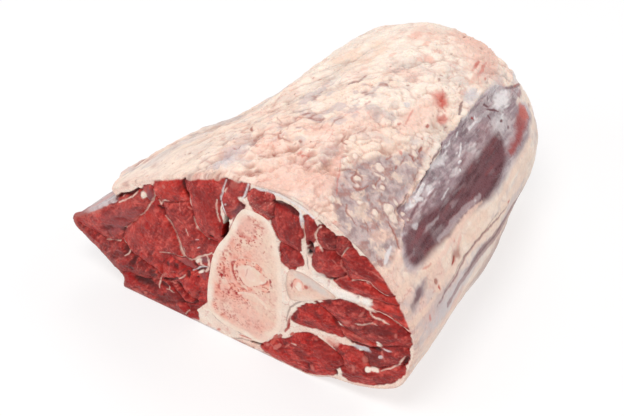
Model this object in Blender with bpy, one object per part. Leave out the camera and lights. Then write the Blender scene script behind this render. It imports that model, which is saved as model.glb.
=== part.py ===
"""Raw beef shank, cross cut from the foreleg, lying on its side with the wide cut face towards -Y.

The piece stands on Z = 0 with the origin under the middle of its bounding box. X runs across the cut
face, Y along the bones and Z up. Lengths are millimetres; MM turns them into metres when a mesh is made.
Five solids: the meat with its fat cover, the radius and the ulna that run through it, and the marrow in
each bone.
"""
import math

import bmesh
import bpy
import numpy as np
from mathutils.geometry import delaunay_2d_cdt

MM = 0.001

# Body: the wide front cut, the narrow far cut and the way one turns into the other
LENGTH = 190.0
CLEARANCE = 0.3
FRONT_CENTRE = np.array((8.0, 50.0))
FRONT_OUTLINE = (
    (-101.6, 32), (-80, 52), (-64, 66), (-45, 79), (-27, 93), (-7, 103), (10, 107), (33, 110),
    (53, 106), (76, 93), (92, 76), (101, 56), (100, 38), (93, 20), (74, 9.5), (58, 6),
    (42, 1), (8, 0), (-22, 0), (-68, 0), (-72, 8), (-87, 19),
)
FAR_CENTRE = np.array((11.7, 49.7))
FAR_HALF_WIDTH_RIGHT = 64.0
FAR_HALF_WIDTH_LEFT = 58.0
FAR_HALF_HEIGHT_UP = 47.5
FAR_HALF_HEIGHT_DOWN = 54.0
FAR_ROUNDNESS = 1.75
TAPER_POWER = 1.54
WAIST = 0.014
SAG = 1.2
SAG_HEIGHT = 6.0
END_ROUND_SHARE = 0.25
END_CUT_SCALE = 0.667
INSIDE_TAPER = np.array((0.62, 0.56))
EDGE_ROUND = 1.5

# Bones and marrow, as sections of the front cut; ovals are centre x, centre z, half width, half height
RADIUS_OUTLINE = (
    (9, 90), (5, 86), (2, 80), (-2, 70), (-8, 60), (-12, 50), (-14, 40), (-16, 28), (-16, 15),
    (-9, 8.5), (4, 7.5), (15, 7), (22, 15), (27, 22), (28, 33), (28.5, 44), (28.5, 55),
    (28, 66), (26, 77), (24, 85), (19, 90),
)
ULNA_OUTLINE = (
    (31.5, 61), (34.5, 65), (41, 66), (49, 64), (58.5, 60.5), (54, 56.5), (45, 51),
    (35, 46), (31.5, 50),
)
RADIUS_MARROW = (11.0, 49.0, 10.5, 10.5)
ULNA_MARROW = (38.0, 57.5, 3.2, 3.8)
BONE_RECESS = 0.4
MARROW_RECESS = 1.0

# Muscle bellies of the front cut: centre x, centre z, half length, half width, tilt from +X in degrees
MUSCLES = (
    (-70, 46, 30, 10, 40), (-48, 44, 24, 17, 75), (-72, 22, 24, 8, -12), (-50, 6, 23, 6, 0),
    (-33, 83, 12, 8, 40), (-25, 60, 18, 12, 0), (-14, 83, 20, 8, 80), (3, 95, 10, 7, 75),
    (-31, 38, 8, 3.5, 0), (-28, 24, 9, 6, 50), (19, 98, 8, 6, 60), (33, 90, 11, 9, 90),
    (34, 72, 6.5, 6, 0), (44, 95, 6, 3, 90), (54, 93, 6, 4.5, 0), (61, 92, 4, 3, 45),
    (56, 79, 9, 7, 60), (75, 83, 13, 5.5, 0), (74, 73, 17, 3.5, 8), (88, 66, 10, 4.5, 20),
    (49, 41, 14, 6, 20), (74, 51, 24, 8, 8), (72, 40, 12, 3, 0), (88, 38, 8, 9, 60),
    (77, 22, 17, 9, 20), (42, 15, 24, 10, 10),
)
SEAM_DEPTH = 1.8
SEAM_HALF_WIDTH = 1.5
BELLY_DROP = 1.1
FAT_RIM = 4.0

# Open gaps of the front cut: start x, z, end x, z, half width, depth
GAPS = (
    (-3.5, 66, -3.5, 79, 1.6, 4.5), (25, 103, 38, 101, 1.5, 4.0), (-68, 62, -57, 70, 1.6, 4.5),
    (9, 4.5, 16, 4.5, 1.3, 3.0), (43.5, 78, 44.5, 84, 1.3, 3.0),
)

# Bare silverskin muscle on the right of the back, let into the fat cover: degrees about the centre, and
# distances from the front cut
BARE_FROM_DEGREES = 15.0
BARE_TO_DEGREES = 40.0
BARE_START = 22.0
BARE_END = 165.0
BARE_DEPTH = 2.2
BARE_SIDE_SLOPE = 5.0
BARE_END_SLOPE = 15.0

# Lumps of the fat cover, and the large swellings and hollows: degrees, distance from the front cut,
# width, height
LUMP_SEED = 7
LUMP_COUNT = 150
LUMP_HEIGHT = 1.5
LUMP_WIDTHS = (7.0, 15.0)
LUMP_STRETCH = 1.4
LUMP_ARC_RADIUS = 70.0
LARGE_LUMPS = (
    (136, 22, 30, 2.4), (171, 110, 23, -2.6), (138, 164, 14, 1.8), (-11, 86, 24, 2.0), (1, 155, 14, -1.3),
)
CALM_ENDS = 0.125

# Thick pad of fat over the upper left edge, from the front cut back: its lower edge climbs with the
# distance from the cut, and it thins out towards the top, the underside and the far end
PAD_THICKNESS = 7.0
PAD_EDGE_DEGREES = 171.5
PAD_EDGE_CLIMB = 0.45
PAD_EDGE_SLOPE = 8.0
PAD_TOP_DEGREES = 118.0
PAD_TOP_SLOPE = 48.0
PAD_UNDER_DEGREES = 204.0
PAD_UNDER_SLOPE = 14.0
PAD_END = 95.0
PAD_END_DEGREES = 170.0
PAD_END_CLIMB = 1.25
PAD_END_SLOPE = 50.0

# Mesh density
AROUND = 104
STRAIGHT_RINGS = 21
ROUND_RINGS = 6
RADIUS_SIDES = 56
ULNA_SIDES = 32
RADIUS_MARROW_SIDES = 28
ULNA_MARROW_SIDES = 14
BONE_STATIONS = 5
CURVE_STEPS = 24
FINE_SPACING = 1.1
SEAM_SPACING = 2.5
FLANK_SPACING = 2.7
FILL_SPACING = 4.4
FAR_SPACINGS = 1.25
BONE_FILL_SPACING = 6.0
LOOP_MARGIN = 2.1

# Looks: red, green, blue, roughness
FAT_LOOK = (0.80, 0.62, 0.48, 0.45)
MUSCLE_LOOK = (0.24, 0.035, 0.035, 0.38)
SILVERSKIN_LOOK = (0.30, 0.19, 0.20, 0.35)
BONE_LOOK = (0.66, 0.44, 0.36, 0.50)
MARROW_LOOK = (0.78, 0.52, 0.38, 0.45)
FAT_SLOT, MUSCLE_SLOT, SILVERSKIN_SLOT = range(3)
SHARP_ANGLE = math.radians(35)


def smooth(x):
    x = np.clip(x, 0, 1)
    return x * x * (3 - 2 * x)


def closed_curve(points):
    """A smooth closed curve through the points."""
    p = np.array(points, float)
    p0, p1, p2, p3 = (np.roll(p, shift, 0)[:, None, :] for shift in (1, 0, -1, -2))
    u = (np.arange(CURVE_STEPS) / CURVE_STEPS)[None, :, None]
    curve = 0.5 * (2 * p1 + (p2 - p0) * u + (2 * p0 - 5 * p1 + 4 * p2 - p3) * u**2
                   + (3 * p1 - p0 - 3 * p2 + p3) * u**3)
    return curve.reshape(-1, 2)


def evenly(curve, count):
    """Points at equal spacing along a closed curve."""
    closed = np.vstack([curve, curve[:1]])
    run = np.concatenate([[0], np.cumsum(np.hypot(*np.diff(closed, axis=0).T))])
    want = np.arange(count) * run[-1] / count
    return np.stack([np.interp(want, run, closed[:, k]) for k in (0, 1)], axis=1)


def oval(x, z, half_width, half_height, count):
    turn = np.arange(count) * 2 * math.pi / count
    return np.stack([x + half_width * np.cos(turn), z + half_height * np.sin(turn)], axis=1)


def grown(loop, distance):
    """A closed loop moved outwards along its normals."""
    ahead, behind = np.roll(loop, -1, 0), np.roll(loop, 1, 0)
    normal = np.stack([(ahead - behind)[:, 1], (behind - ahead)[:, 0]], axis=1)
    normal /= np.hypot(*normal.T)[:, None]
    counter_clockwise = np.sum(loop[:, 0] * ahead[:, 1] - ahead[:, 0] * loop[:, 1]) > 0
    return loop + normal * (distance if counter_clockwise else -distance)


def inside(points, loop):
    """Whether each point lies within the closed loop."""
    x, z = points[:, :1], points[:, 1:]
    ax, az = loop[:, 0][None], loop[:, 1][None]
    bx, bz = np.roll(ax, -1), np.roll(az, -1)
    crosses = (az > z) != (bz > z)
    at = ax + (z - az) * (bx - ax) / np.where(bz == az, 1, bz - az)
    return np.sum(crosses & (x < at), axis=1) % 2 == 1


def within(points, loops):
    """Whether each point lies within the first loop and outside the others."""
    keep = inside(points, loops[0])
    for hole in loops[1:]:
        keep &= ~inside(points, hole)
    return keep


def segment_distance(points, start, end):
    start, end = np.array(start, float), np.array(end, float)
    along = end - start
    u = np.clip((points - start) @ along / (along @ along), 0, 1)
    return np.hypot(*(points - start - u[:, None] * along).T)


def loop_distance(points, loop):
    """Distance from each point to a closed loop."""
    ends = zip(loop, np.roll(loop, -1, 0))
    return np.min([segment_distance(points, start, end) for start, end in ends], axis=0)


OUTLINE = closed_curve(FRONT_OUTLINE)


def front_radius(angle):
    away = OUTLINE - FRONT_CENTRE
    return np.interp(angle, np.arctan2(away[:, 1], away[:, 0]), np.hypot(*away.T), period=2 * math.pi)


def far_radius(angle):
    c, s = np.cos(angle), np.sin(angle)
    half_width = np.where(c > 0, FAR_HALF_WIDTH_RIGHT, FAR_HALF_WIDTH_LEFT)
    half_height = np.where(s > 0, FAR_HALF_HEIGHT_UP, FAR_HALF_HEIGHT_DOWN)
    n = FAR_ROUNDNESS
    return ((np.abs(c) / half_width) ** n + (np.abs(s) / half_height) ** n) ** (-1 / n)


def to_far(points):
    """Where a point of the front cut comes out in the far cut, as the bones and muscles taper."""
    return FAR_CENTRE + (points - FRONT_CENTRE) * INSIDE_TAPER


def to_front(points):
    return FRONT_CENTRE + (points - FAR_CENTRE) / INSIDE_TAPER


def lumps(angle, t):
    """Height of the fat cover's lumps at an angle about the centre and a share t of the length."""
    rng = np.random.default_rng(LUMP_SEED)
    arc, run = angle * LUMP_ARC_RADIUS, t * LENGTH
    turn = 2 * math.pi * LUMP_ARC_RADIUS
    height = np.zeros(np.shape(angle))
    for _ in range(LUMP_COUNT):
        at_arc, at_run = rng.uniform(0, turn), rng.uniform(0, LENGTH)
        width, size = rng.uniform(*LUMP_WIDTHS), rng.uniform(-0.6, 1.0) * LUMP_HEIGHT
        across = (arc - at_arc + turn / 2) % turn - turn / 2
        along = (run - at_run) / LUMP_STRETCH
        height += size * np.exp(-(across**2 + along**2) / width**2)
    for degrees, at_run, width, size in LARGE_LUMPS:
        across = ((angle - math.radians(degrees) + math.pi) % (2 * math.pi) - math.pi) * LUMP_ARC_RADIUS
        height += size * np.exp(-(across**2 + (run - at_run) ** 2) / width**2)
    return height


def pad(angle, t):
    """Height of the fat pad on the upper left."""
    degrees, run = np.degrees(angle) % 360, t * LENGTH
    share = smooth((PAD_EDGE_DEGREES + PAD_EDGE_CLIMB * run - degrees) / PAD_EDGE_SLOPE + 0.5)
    share = share * smooth((degrees - PAD_TOP_DEGREES) / PAD_TOP_SLOPE)
    share = share * smooth((PAD_UNDER_DEGREES - degrees) / PAD_UNDER_SLOPE)
    end = PAD_END + PAD_END_CLIMB * (degrees - PAD_END_DEGREES)
    return PAD_THICKNESS * share * smooth((end - run) / PAD_END_SLOPE)


def bare(angle, t):
    """1 on the silverskin muscle that the fat cover leaves bare, 0 elsewhere."""
    degrees, run = np.degrees(angle), t * LENGTH
    across = np.minimum(degrees - BARE_FROM_DEGREES, BARE_TO_DEGREES - degrees) / BARE_SIDE_SLOPE
    along = np.minimum(run - BARE_START, BARE_END - run) / BARE_END_SLOPE
    return smooth(across) * smooth(along)


def station_centre(t):
    return FRONT_CENTRE + (FAR_CENTRE - FRONT_CENTRE) * t**TAPER_POWER


def side_ring(angle, t, cut_scale=1.0):
    """The body's outer ring at a share t of its length, scaled about its centre and flat where it lies."""
    w = t**TAPER_POWER
    radius = (1 - w) * front_radius(angle) + w * far_radius(angle)
    radius *= (1 - WAIST * math.sin(math.pi * t)) * cut_scale
    relief = lumps(angle, t) * (1 - bare(angle, t)) - BARE_DEPTH * bare(angle, t)
    relief *= smooth((station_centre(t)[1] + radius * np.sin(angle)) / SAG_HEIGHT)
    radius += relief * smooth(t / CALM_ENDS) * smooth((1 - t) / CALM_ENDS) + pad(angle, t)
    x, z = station_centre(t)[:, None] + radius * np.stack([np.cos(angle), np.sin(angle)])
    z = np.maximum(z - SAG * smooth(1 - z / SAG_HEIGHT), 0)
    return np.stack([x, np.full(len(angle), (t - 0.5) * LENGTH), z], axis=1)


def muscle_reach(points):
    """Each point's distance from its muscle's middle, 1 at the belly's side, and the lead over the next."""
    found = []
    for x, z, length, width, tilt in MUSCLES:
        c, s = math.cos(math.radians(tilt)), math.sin(math.radians(tilt))
        dx, dz = points[:, 0] - x, points[:, 1] - z
        found.append(np.hypot((dx * c + dz * s) / length, (dz * c - dx * s) / width))
    nearest, second = np.sort(np.array(found), axis=0)[:2]
    return nearest, second - nearest


def seam_distance(points):
    """Distance to the nearest seam, where two muscles reach a point equally well."""
    step = np.eye(2) * 0.25
    slopes = [(muscle_reach(points + s)[1] - muscle_reach(points - s)[1]) / (2 * np.max(s)) for s in step]
    return muscle_reach(points)[1] / np.maximum(np.hypot(*slopes), 0.02)


def gap_distances(points):
    return [segment_distance(points, gap[0:2], gap[2:4]) for gap in GAPS]


def cut_depth(points, rim_distance, with_gaps):
    """How far a cut lies below its highest parts, for points of the front pattern."""
    seam = SEAM_DEPTH * np.exp(-(seam_distance(points) / SEAM_HALF_WIDTH) ** 2)
    depth = seam + BELLY_DROP * smooth(muscle_reach(points)[0])
    depth *= smooth((rim_distance - FAT_RIM * 0.6) / FAT_RIM)
    if with_gaps:
        for gap, away in zip(GAPS, gap_distances(points)):
            depth = np.maximum(depth, gap[5] * np.exp(-(away / gap[4]) ** 2))
    return depth


def thinned(candidates, kept, spacing):
    """The candidates, in order, that keep the spacing from each other and from the points kept before."""
    everything = [np.array(point) for point in kept]
    for point in candidates:
        if np.min(np.hypot(*(np.array(everything) - point).T)) >= spacing:
            everything.append(point)
    return np.array(everything)


def grid_within(loops, spacing):
    """A triangular grid of points between the loops, clear of their edges."""
    low, high = loops[0].min(0), loops[0].max(0)
    rows = np.arange(low[1], high[1], spacing * math.sqrt(0.75))
    row = np.arange(low[0], high[0], spacing)
    points = np.array([(x + spacing / 2 * (k % 2), z) for k, z in enumerate(rows) for x in row])
    points = points[within(points, loops)]
    clear = np.min([loop_distance(points, loop) for loop in loops], axis=0) > LOOP_MARGIN
    return points[clear]


def cut_points(loops, to_pattern, spacings):
    """Points of a cut: its loops, then the seams and gaps, their flanks, and the muscles between them."""
    points = np.vstack(loops)
    fine = grid_within(loops, FINE_SPACING)
    pattern = to_pattern(fine)
    away = np.min([seam_distance(pattern)] + gap_distances(pattern), axis=0)
    flank = (away > SEAM_HALF_WIDTH * 1.2) & (away < SEAM_HALF_WIDTH * 1.9)
    points = thinned(fine[away < 0.5], points, SEAM_SPACING * spacings)
    points = thinned(fine[flank], points, FLANK_SPACING * spacings)
    return thinned(fine, points, FILL_SPACING * spacings)


def cut_faces(points, loops):
    """Triangles between the first loop and the others, whose points come first in the list."""
    edges, start = [], 0
    for loop in loops:
        edges += [(start + k, start + (k + 1) % len(loop)) for k in range(len(loop))]
        start += len(loop)
    found = delaunay_2d_cdt([tuple(map(float, p)) for p in points], edges, [], 0, 1e-5)
    source = np.array([ids[0] for ids in found[3]])
    triangles = source[np.array(found[2])]
    return triangles[within(points[triangles].mean(axis=1), loops)]


class Skin:
    """Vertices, triangles and material slots of a solid while it is put together."""

    def __init__(self):
        self.points = np.zeros((0, 3))
        self.faces = []
        self.slots = []

    def add(self, flat_points, y):
        """Adds points of an XZ section at y and returns their numbers."""
        new = np.stack([flat_points[:, 0], np.broadcast_to(y, len(flat_points)), flat_points[:, 1]], axis=1)
        self.points = np.vstack([self.points, new])
        return np.arange(len(self.points) - len(new), len(self.points))

    def fill(self, triangles, slots):
        self.faces += [tuple(map(int, t)) for t in triangles]
        self.slots += [int(s) for s in slots]

    def band(self, near, away, slot):
        """Triangles between two rings of vertex numbers, all split along the same diagonal."""
        near_next, away_next = np.roll(near, -1), np.roll(away, -1)
        self.fill(np.stack([near, near_next, away_next], 1), np.full(len(near), slot))
        self.fill(np.stack([near, away_next, away], 1), np.full(len(near), slot))

    def make(self, name, materials):
        """The closed object, with its faces pointing out."""
        mesh = bpy.data.meshes.new(name)
        mesh.from_pydata([tuple(v) for v in self.points * MM], [], self.faces)
        for material in materials:
            mesh.materials.append(material)
        mesh.polygons.foreach_set("material_index", self.slots)
        shape = bmesh.new()
        shape.from_mesh(mesh)
        bmesh.ops.recalc_face_normals(shape, faces=shape.faces)
        shape.to_mesh(mesh)
        shape.free()
        mesh.shade_smooth()
        mesh.set_sharp_from_angle(angle=SHARP_ANGLE)
        bpy.context.scene.collection.objects.link(bpy.data.objects.new(name, mesh))


def look(name, red, green, blue, roughness):
    material = bpy.data.materials.new(name)
    material.use_nodes = True
    shader = material.node_tree.nodes["Principled BSDF"]
    shader.inputs["Base Color"].default_value = (red, green, blue, 1.0)
    shader.inputs["Roughness"].default_value = roughness
    shader.inputs["Metallic"].default_value = 0.0
    return material


def station_y(k, recess):
    return -LENGTH / 2 + recess + (LENGTH - 2 * recess) * k / BONE_STATIONS


def stations(loop, growth=0.0):
    """A closed section at each bone station, from the front cut to the far cut, moved out by the growth."""
    shares = np.arange(BONE_STATIONS + 1) / BONE_STATIONS
    return [grown(loop * (1 - t) + to_far(loop) * t, growth) for t in shares]


def make_core(name, rims, recess, material):
    """A bone or its marrow from cut to cut; each rim is a list of sections, the first the outer."""
    skin = Skin()
    fill = grid_within([rim[0] for rim in rims], BONE_FILL_SPACING)
    rings = []
    for k in range(BONE_STATIONS + 1):
        loops = [rim[k] for rim in rims]
        section = np.vstack(loops)
        if k in (0, BONE_STATIONS):
            section = np.vstack([section, fill if k == 0 else to_far(fill)])
        numbers = skin.add(section, station_y(k, recess))
        if k in (0, BONE_STATIONS):
            end = numbers[cut_faces(section, loops)]
            skin.fill(end, np.zeros(len(end)))
        counts = [len(loop) for loop in loops]
        rings.append(np.split(numbers[:sum(counts)], np.cumsum(counts)[:-1]))
    for near, away in zip(rings, rings[1:]):
        for near_ring, away_ring in zip(near, away):
            skin.band(near_ring, away_ring, 0)
    skin.make(name, [material])


def add_cut(skin, rim, holes, front):
    """One cut face of the meat, with its seams and bellies; returns the rings of its rim and its holes."""
    loops = [rim] + holes
    to_pattern = (lambda p: p) if front else to_front
    points = cut_points(loops, to_pattern, 1.0 if front else FAR_SPACINGS)
    depth = cut_depth(to_pattern(points), loop_distance(points, rim), front)
    counts = [len(loop) for loop in loops]
    depth[:counts[0]] = 0
    depth[counts[0]:sum(counts)] = BONE_RECESS
    numbers = skin.add(points, depth - LENGTH / 2 if front else LENGTH / 2 - depth)
    triangles = cut_faces(points, loops)
    in_rim = loop_distance(points[triangles].mean(axis=1), rim) < FAT_RIM
    skin.fill(numbers[triangles], np.where(in_rim, FAT_SLOT, MUSCLE_SLOT))
    return np.split(numbers[:sum(counts)], np.cumsum(counts)[:-1])


def make_meat(channels):
    """The meat: side rings between the two cuts, and the channels in which the bones lie."""
    away = evenly(OUTLINE, AROUND) - FRONT_CENTRE
    angles = np.arctan2(away[:, 1], away[:, 0])
    start = EDGE_ROUND / LENGTH
    shares = start + (1 - END_ROUND_SHARE - start) * np.arange(STRAIGHT_RINGS + 1) / STRAIGHT_RINGS
    rings = [side_ring(angles, t) for t in shares]
    for turn in math.pi / 2 * np.arange(1, ROUND_RINGS + 1) / ROUND_RINGS:
        t = 1 - END_ROUND_SHARE * (1 - math.sin(turn))
        rings.append(side_ring(angles, t, END_CUT_SCALE + (1 - END_CUT_SCALE) * math.cos(turn)))

    skin = Skin()
    front_rim = grown(rings[0][:, [0, 2]], -EDGE_ROUND)
    front = add_cut(skin, front_rim, [channel[0] for channel in channels], True)
    far = add_cut(skin, rings[-1][:, [0, 2]], [channel[-1] for channel in channels], False)
    side = [front[0]] + [skin.add(ring[:, [0, 2]], ring[:, 1]) for ring in rings[:-1]] + [far[0]]
    for near_ring, away_ring in zip(side, side[1:]):
        first = len(skin.faces)
        skin.band(near_ring, away_ring, FAT_SLOT)
        for k in range(first, len(skin.faces)):
            skin.slots[k] = side_slot(skin.points[list(skin.faces[k])].mean(axis=0))
    for channel, near_ring, last_ring in zip(channels, front[1:], far[1:]):
        middle = [skin.add(channel[k], station_y(k, BONE_RECESS)) for k in range(1, BONE_STATIONS)]
        walls = [near_ring] + middle + [last_ring]
        for near_wall, away_wall in zip(walls, walls[1:]):
            skin.band(near_wall, away_wall, MUSCLE_SLOT)
    looks = [look("fat", *FAT_LOOK), look("muscle", *MUSCLE_LOOK), look("silverskin", *SILVERSKIN_LOOK)]
    skin.make("meat", looks)


def side_slot(point):
    t = point[1] / LENGTH + 0.5
    x, z = point[[0, 2]] - station_centre(t)
    return SILVERSKIN_SLOT if bare(math.atan2(z, x), t) > 0.4 else FAT_SLOT


def main():
    for thing in list(bpy.data.objects):
        bpy.data.objects.remove(thing)
    bone, marrow = look("bone", *BONE_LOOK), look("marrow", *MARROW_LOOK)
    channels = []
    for kind, outline, sides, hole, hole_sides in (
        ("radius", RADIUS_OUTLINE, RADIUS_SIDES, RADIUS_MARROW, RADIUS_MARROW_SIDES),
        ("ulna", ULNA_OUTLINE, ULNA_SIDES, ULNA_MARROW, ULNA_MARROW_SIDES),
    ):
        outer = evenly(closed_curve(outline), sides)
        inner = oval(*hole, hole_sides)
        make_core(kind + "_bone", [stations(outer), stations(inner)], BONE_RECESS, bone)
        make_core(kind + "_marrow", [stations(inner, -CLEARANCE)], MARROW_RECESS, marrow)
        channels.append(stations(outer, CLEARANCE))
    make_meat(channels)


main()
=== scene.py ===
"""Looks of the raw beef shank: the cut face with its muscles, bones and marrow, and the fat cover around it.

Lengths are millimetres in the row frame, turned into metres by MM where a mesh is made. Points of the front
cut are x, z; places on the side are degrees about the centre (0 at the right, 90 on top) and y along
the bones.
"""
import math

import bmesh
import bpy
import numpy as np
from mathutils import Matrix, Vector


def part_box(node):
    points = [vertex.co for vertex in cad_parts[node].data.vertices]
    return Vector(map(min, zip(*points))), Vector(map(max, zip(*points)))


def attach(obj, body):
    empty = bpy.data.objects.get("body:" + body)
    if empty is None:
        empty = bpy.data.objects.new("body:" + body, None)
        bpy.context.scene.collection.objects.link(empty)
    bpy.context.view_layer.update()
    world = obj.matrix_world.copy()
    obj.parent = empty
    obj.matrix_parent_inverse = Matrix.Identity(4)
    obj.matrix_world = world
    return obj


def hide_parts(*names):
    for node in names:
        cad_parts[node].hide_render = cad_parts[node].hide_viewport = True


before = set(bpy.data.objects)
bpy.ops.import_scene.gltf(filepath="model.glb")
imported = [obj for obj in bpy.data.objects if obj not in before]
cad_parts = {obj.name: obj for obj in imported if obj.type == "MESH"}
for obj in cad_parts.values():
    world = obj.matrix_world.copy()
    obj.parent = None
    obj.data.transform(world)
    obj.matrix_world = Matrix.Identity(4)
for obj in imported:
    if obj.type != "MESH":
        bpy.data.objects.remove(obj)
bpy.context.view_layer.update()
QUICK = 1.0

MM = 0.001

# Body, as in the part's source
LENGTH = (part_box("meat")[1].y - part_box("meat")[0].y) / MM
FRONT = -LENGTH / 2
FRONT_CENTRE = np.array((8.0, 50.0))
FRONT_OUTLINE = (
    (-101.6, 32), (-80, 52), (-64, 66), (-45, 79), (-27, 93), (-7, 103), (10, 107), (33, 110),
    (53, 106), (76, 93), (92, 76), (101, 56), (100, 38), (93, 20), (74, 9.5), (58, 6),
    (42, 1), (8, 0), (-22, 0), (-68, 0), (-72, 8), (-87, 19),
)
FAR_CENTRE = np.array((11.7, 49.7))
FAR_HALF_WIDTH_RIGHT = 64.0
FAR_HALF_WIDTH_LEFT = 58.0
FAR_HALF_HEIGHT_UP = 47.5
FAR_HALF_HEIGHT_DOWN = 54.0
FAR_ROUNDNESS = 1.75
TAPER_POWER = 1.54
WAIST = 0.014
SAG = 1.2
SAG_HEIGHT = 6.0
END_ROUND_SHARE = 0.25
END_CUT_SCALE = 0.667
INSIDE_TAPER = np.array((0.62, 0.56))
BARE_FROM_DEGREES = 15.0
BARE_TO_DEGREES = 40.0
BARE_START = 22.0
BARE_END = 165.0
BARE_DEPTH = 2.2
BARE_SIDE_SLOPE = 5.0
BARE_END_SLOPE = 15.0
LUMP_SEED = 7
LUMP_COUNT = 150
LUMP_HEIGHT = 1.5
LUMP_WIDTHS = (7.0, 15.0)
LUMP_STRETCH = 1.4
LUMP_ARC_RADIUS = 70.0
LARGE_LUMPS = (
    (136, 22, 30, 2.4), (171, 110, 23, -2.6), (138, 164, 14, 1.8), (-11, 86, 24, 2.0), (1, 155, 14, -1.3),
)
CALM_ENDS = 0.125
PAD_THICKNESS = 7.0
PAD_EDGE_DEGREES = 170.5
PAD_EDGE_CLIMB = 0.45
PAD_EDGE_SLOPE = 4.5
PAD_TOP_DEGREES = 118.0
PAD_TOP_SLOPE = 48.0
PAD_UNDER_DEGREES = 204.0
PAD_UNDER_SLOPE = 14.0
PAD_END = 95.0
PAD_END_DEGREES = 170.0
PAD_END_CLIMB = 1.25
PAD_END_SLOPE = 50.0
RADIUS_OUTLINE = (
    (9, 90), (5, 86), (2, 80), (-2, 70), (-8, 60), (-12, 50), (-14, 40), (-16, 28), (-16, 15),
    (-9, 8.5), (4, 7.5), (15, 7), (22, 15), (27, 22), (28, 33), (28.5, 44), (28.5, 55),
    (28, 66), (26, 77), (24, 85), (19, 90),
)
ULNA_OUTLINE = (
    (31.5, 61), (34.5, 65), (41, 66), (49, 64), (58.5, 60.5), (54, 56.5), (45, 51),
    (35, 46), (31.5, 50),
)
RADIUS_MARROW = (11.0, 49.0, 10.5, 10.5)
ULNA_MARROW = (38.0, 57.5, 3.2, 3.8)
BONE_RECESS = 0.2

# Mesh spacing
CUT_SPACING = 0.40 * QUICK
FAR_CUT_SPACING = 0.62 * QUICK
BONE_SPACING = 0.4 * QUICK
BACK_SPACING = 6.0

# Rim of the front cut: its rounding, where the covers start, and rings of the side with how far each is sunk
EDGE_ROUND = 1.2
COVER_START = 2.1
RING_RUNS = (0, 0.4, 0.8, 1.2, 1.6, 2.0, 2.4, 2.8)
RING_TUCKS = (0, 0, 0, 0.02, 0.10, 0.26, 0.45)

# Tints of the mottled web and the muscles
WEB_CAST = np.array((1.0, 0.95, 0.90))
LEAN_CAST = np.array((1.06, 0.88, 0.85))

# Slabs behind the cut faces, and the covers
SLAB_DEPTH = 4.6
FRONT_TURNS = 900
FAR_TURNS = 500
FAR_CUT_SHARE = 0.86
WALL_GAP = 0.5
COVER_THICKNESS = 3.0
COVER_TUCK = 0.7
HIDDEN_GLOSS = 0.4
JOIN_WIDTH = 1.9
# Surface: reach of light under it by colour, size of wet patches against the pits, depth of the pits
SUBSURFACE_REACH = (1.0, 0.4, 0.25)
WET_PATCH = 2.2
BUMP_DEPTH = 0.35
# Pieces of the cover: name, first and last degrees, spacing around and along
COVERS = (
    ("cover_right", -14, 40, 0.46, 0.48), ("cover_top", 40, 130, 0.5, 0.48),
    ("cover_left", 130, 194, 0.58, 0.48),
    ("cover_under", 194, 346, 1.3, 1.44),
)
MM_PER_DEGREE = 1.22

# Colours as the eye sees them in soft light: red, green, blue from 0 to 255
TONES = {
    "meat": (168, 56, 52), "red": (172, 48, 43), "maroon": (150, 52, 50), "deep": (136, 40, 40),
    "dark": (112, 34, 36),
    "shade": (84, 20, 24), "black": (54, 12, 15), "bright": (192, 60, 52), "blood": (168, 22, 18),
    "crimson": (190, 34, 28), "rose": (172, 76, 72), "salmon": (203, 84, 75), "pale_rose": (206, 116, 106),
    "greyed": (154, 80, 80), "mauve": (142, 86, 90), "line": (240, 204, 188),
    "cream": (254, 236, 221), "ivory": (247, 225, 210), "pink_fat": (240, 188, 172), "blush": (247, 208, 192),
    "peach": (247, 216, 196), "membrane": (218, 210, 212), "lilac": (206, 188, 189),
    "silver": (242, 235, 234),
    "purple": (166, 146, 150), "violet": (116, 74, 79), "plum": (94, 55, 60), "brown": (168, 104, 92),
    "capillary": (205, 92, 80), "bone_rim": (252, 226, 208), "bone_core": (247, 178, 158),
    "bone_red": (190, 70, 62), "bone_blood": (172, 44, 46), "bone_flush": (230, 150, 136),
    # The next two tones are painted shade in the fat's hollows; the grey one also colours thin fat and a few
    # spots of the side
    "shade_pink": (216, 166, 148), "grey_film_and_shade": (196, 176, 174),
    "dusk": (126, 100, 108), "grey_fat": (224, 210, 202), "shadow": (120, 84, 82), "tendon": (253, 242, 233),
    "grey_bone": (228, 188, 170),
}
ALBEDO = 0.94
HAZE = 0.022

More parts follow.
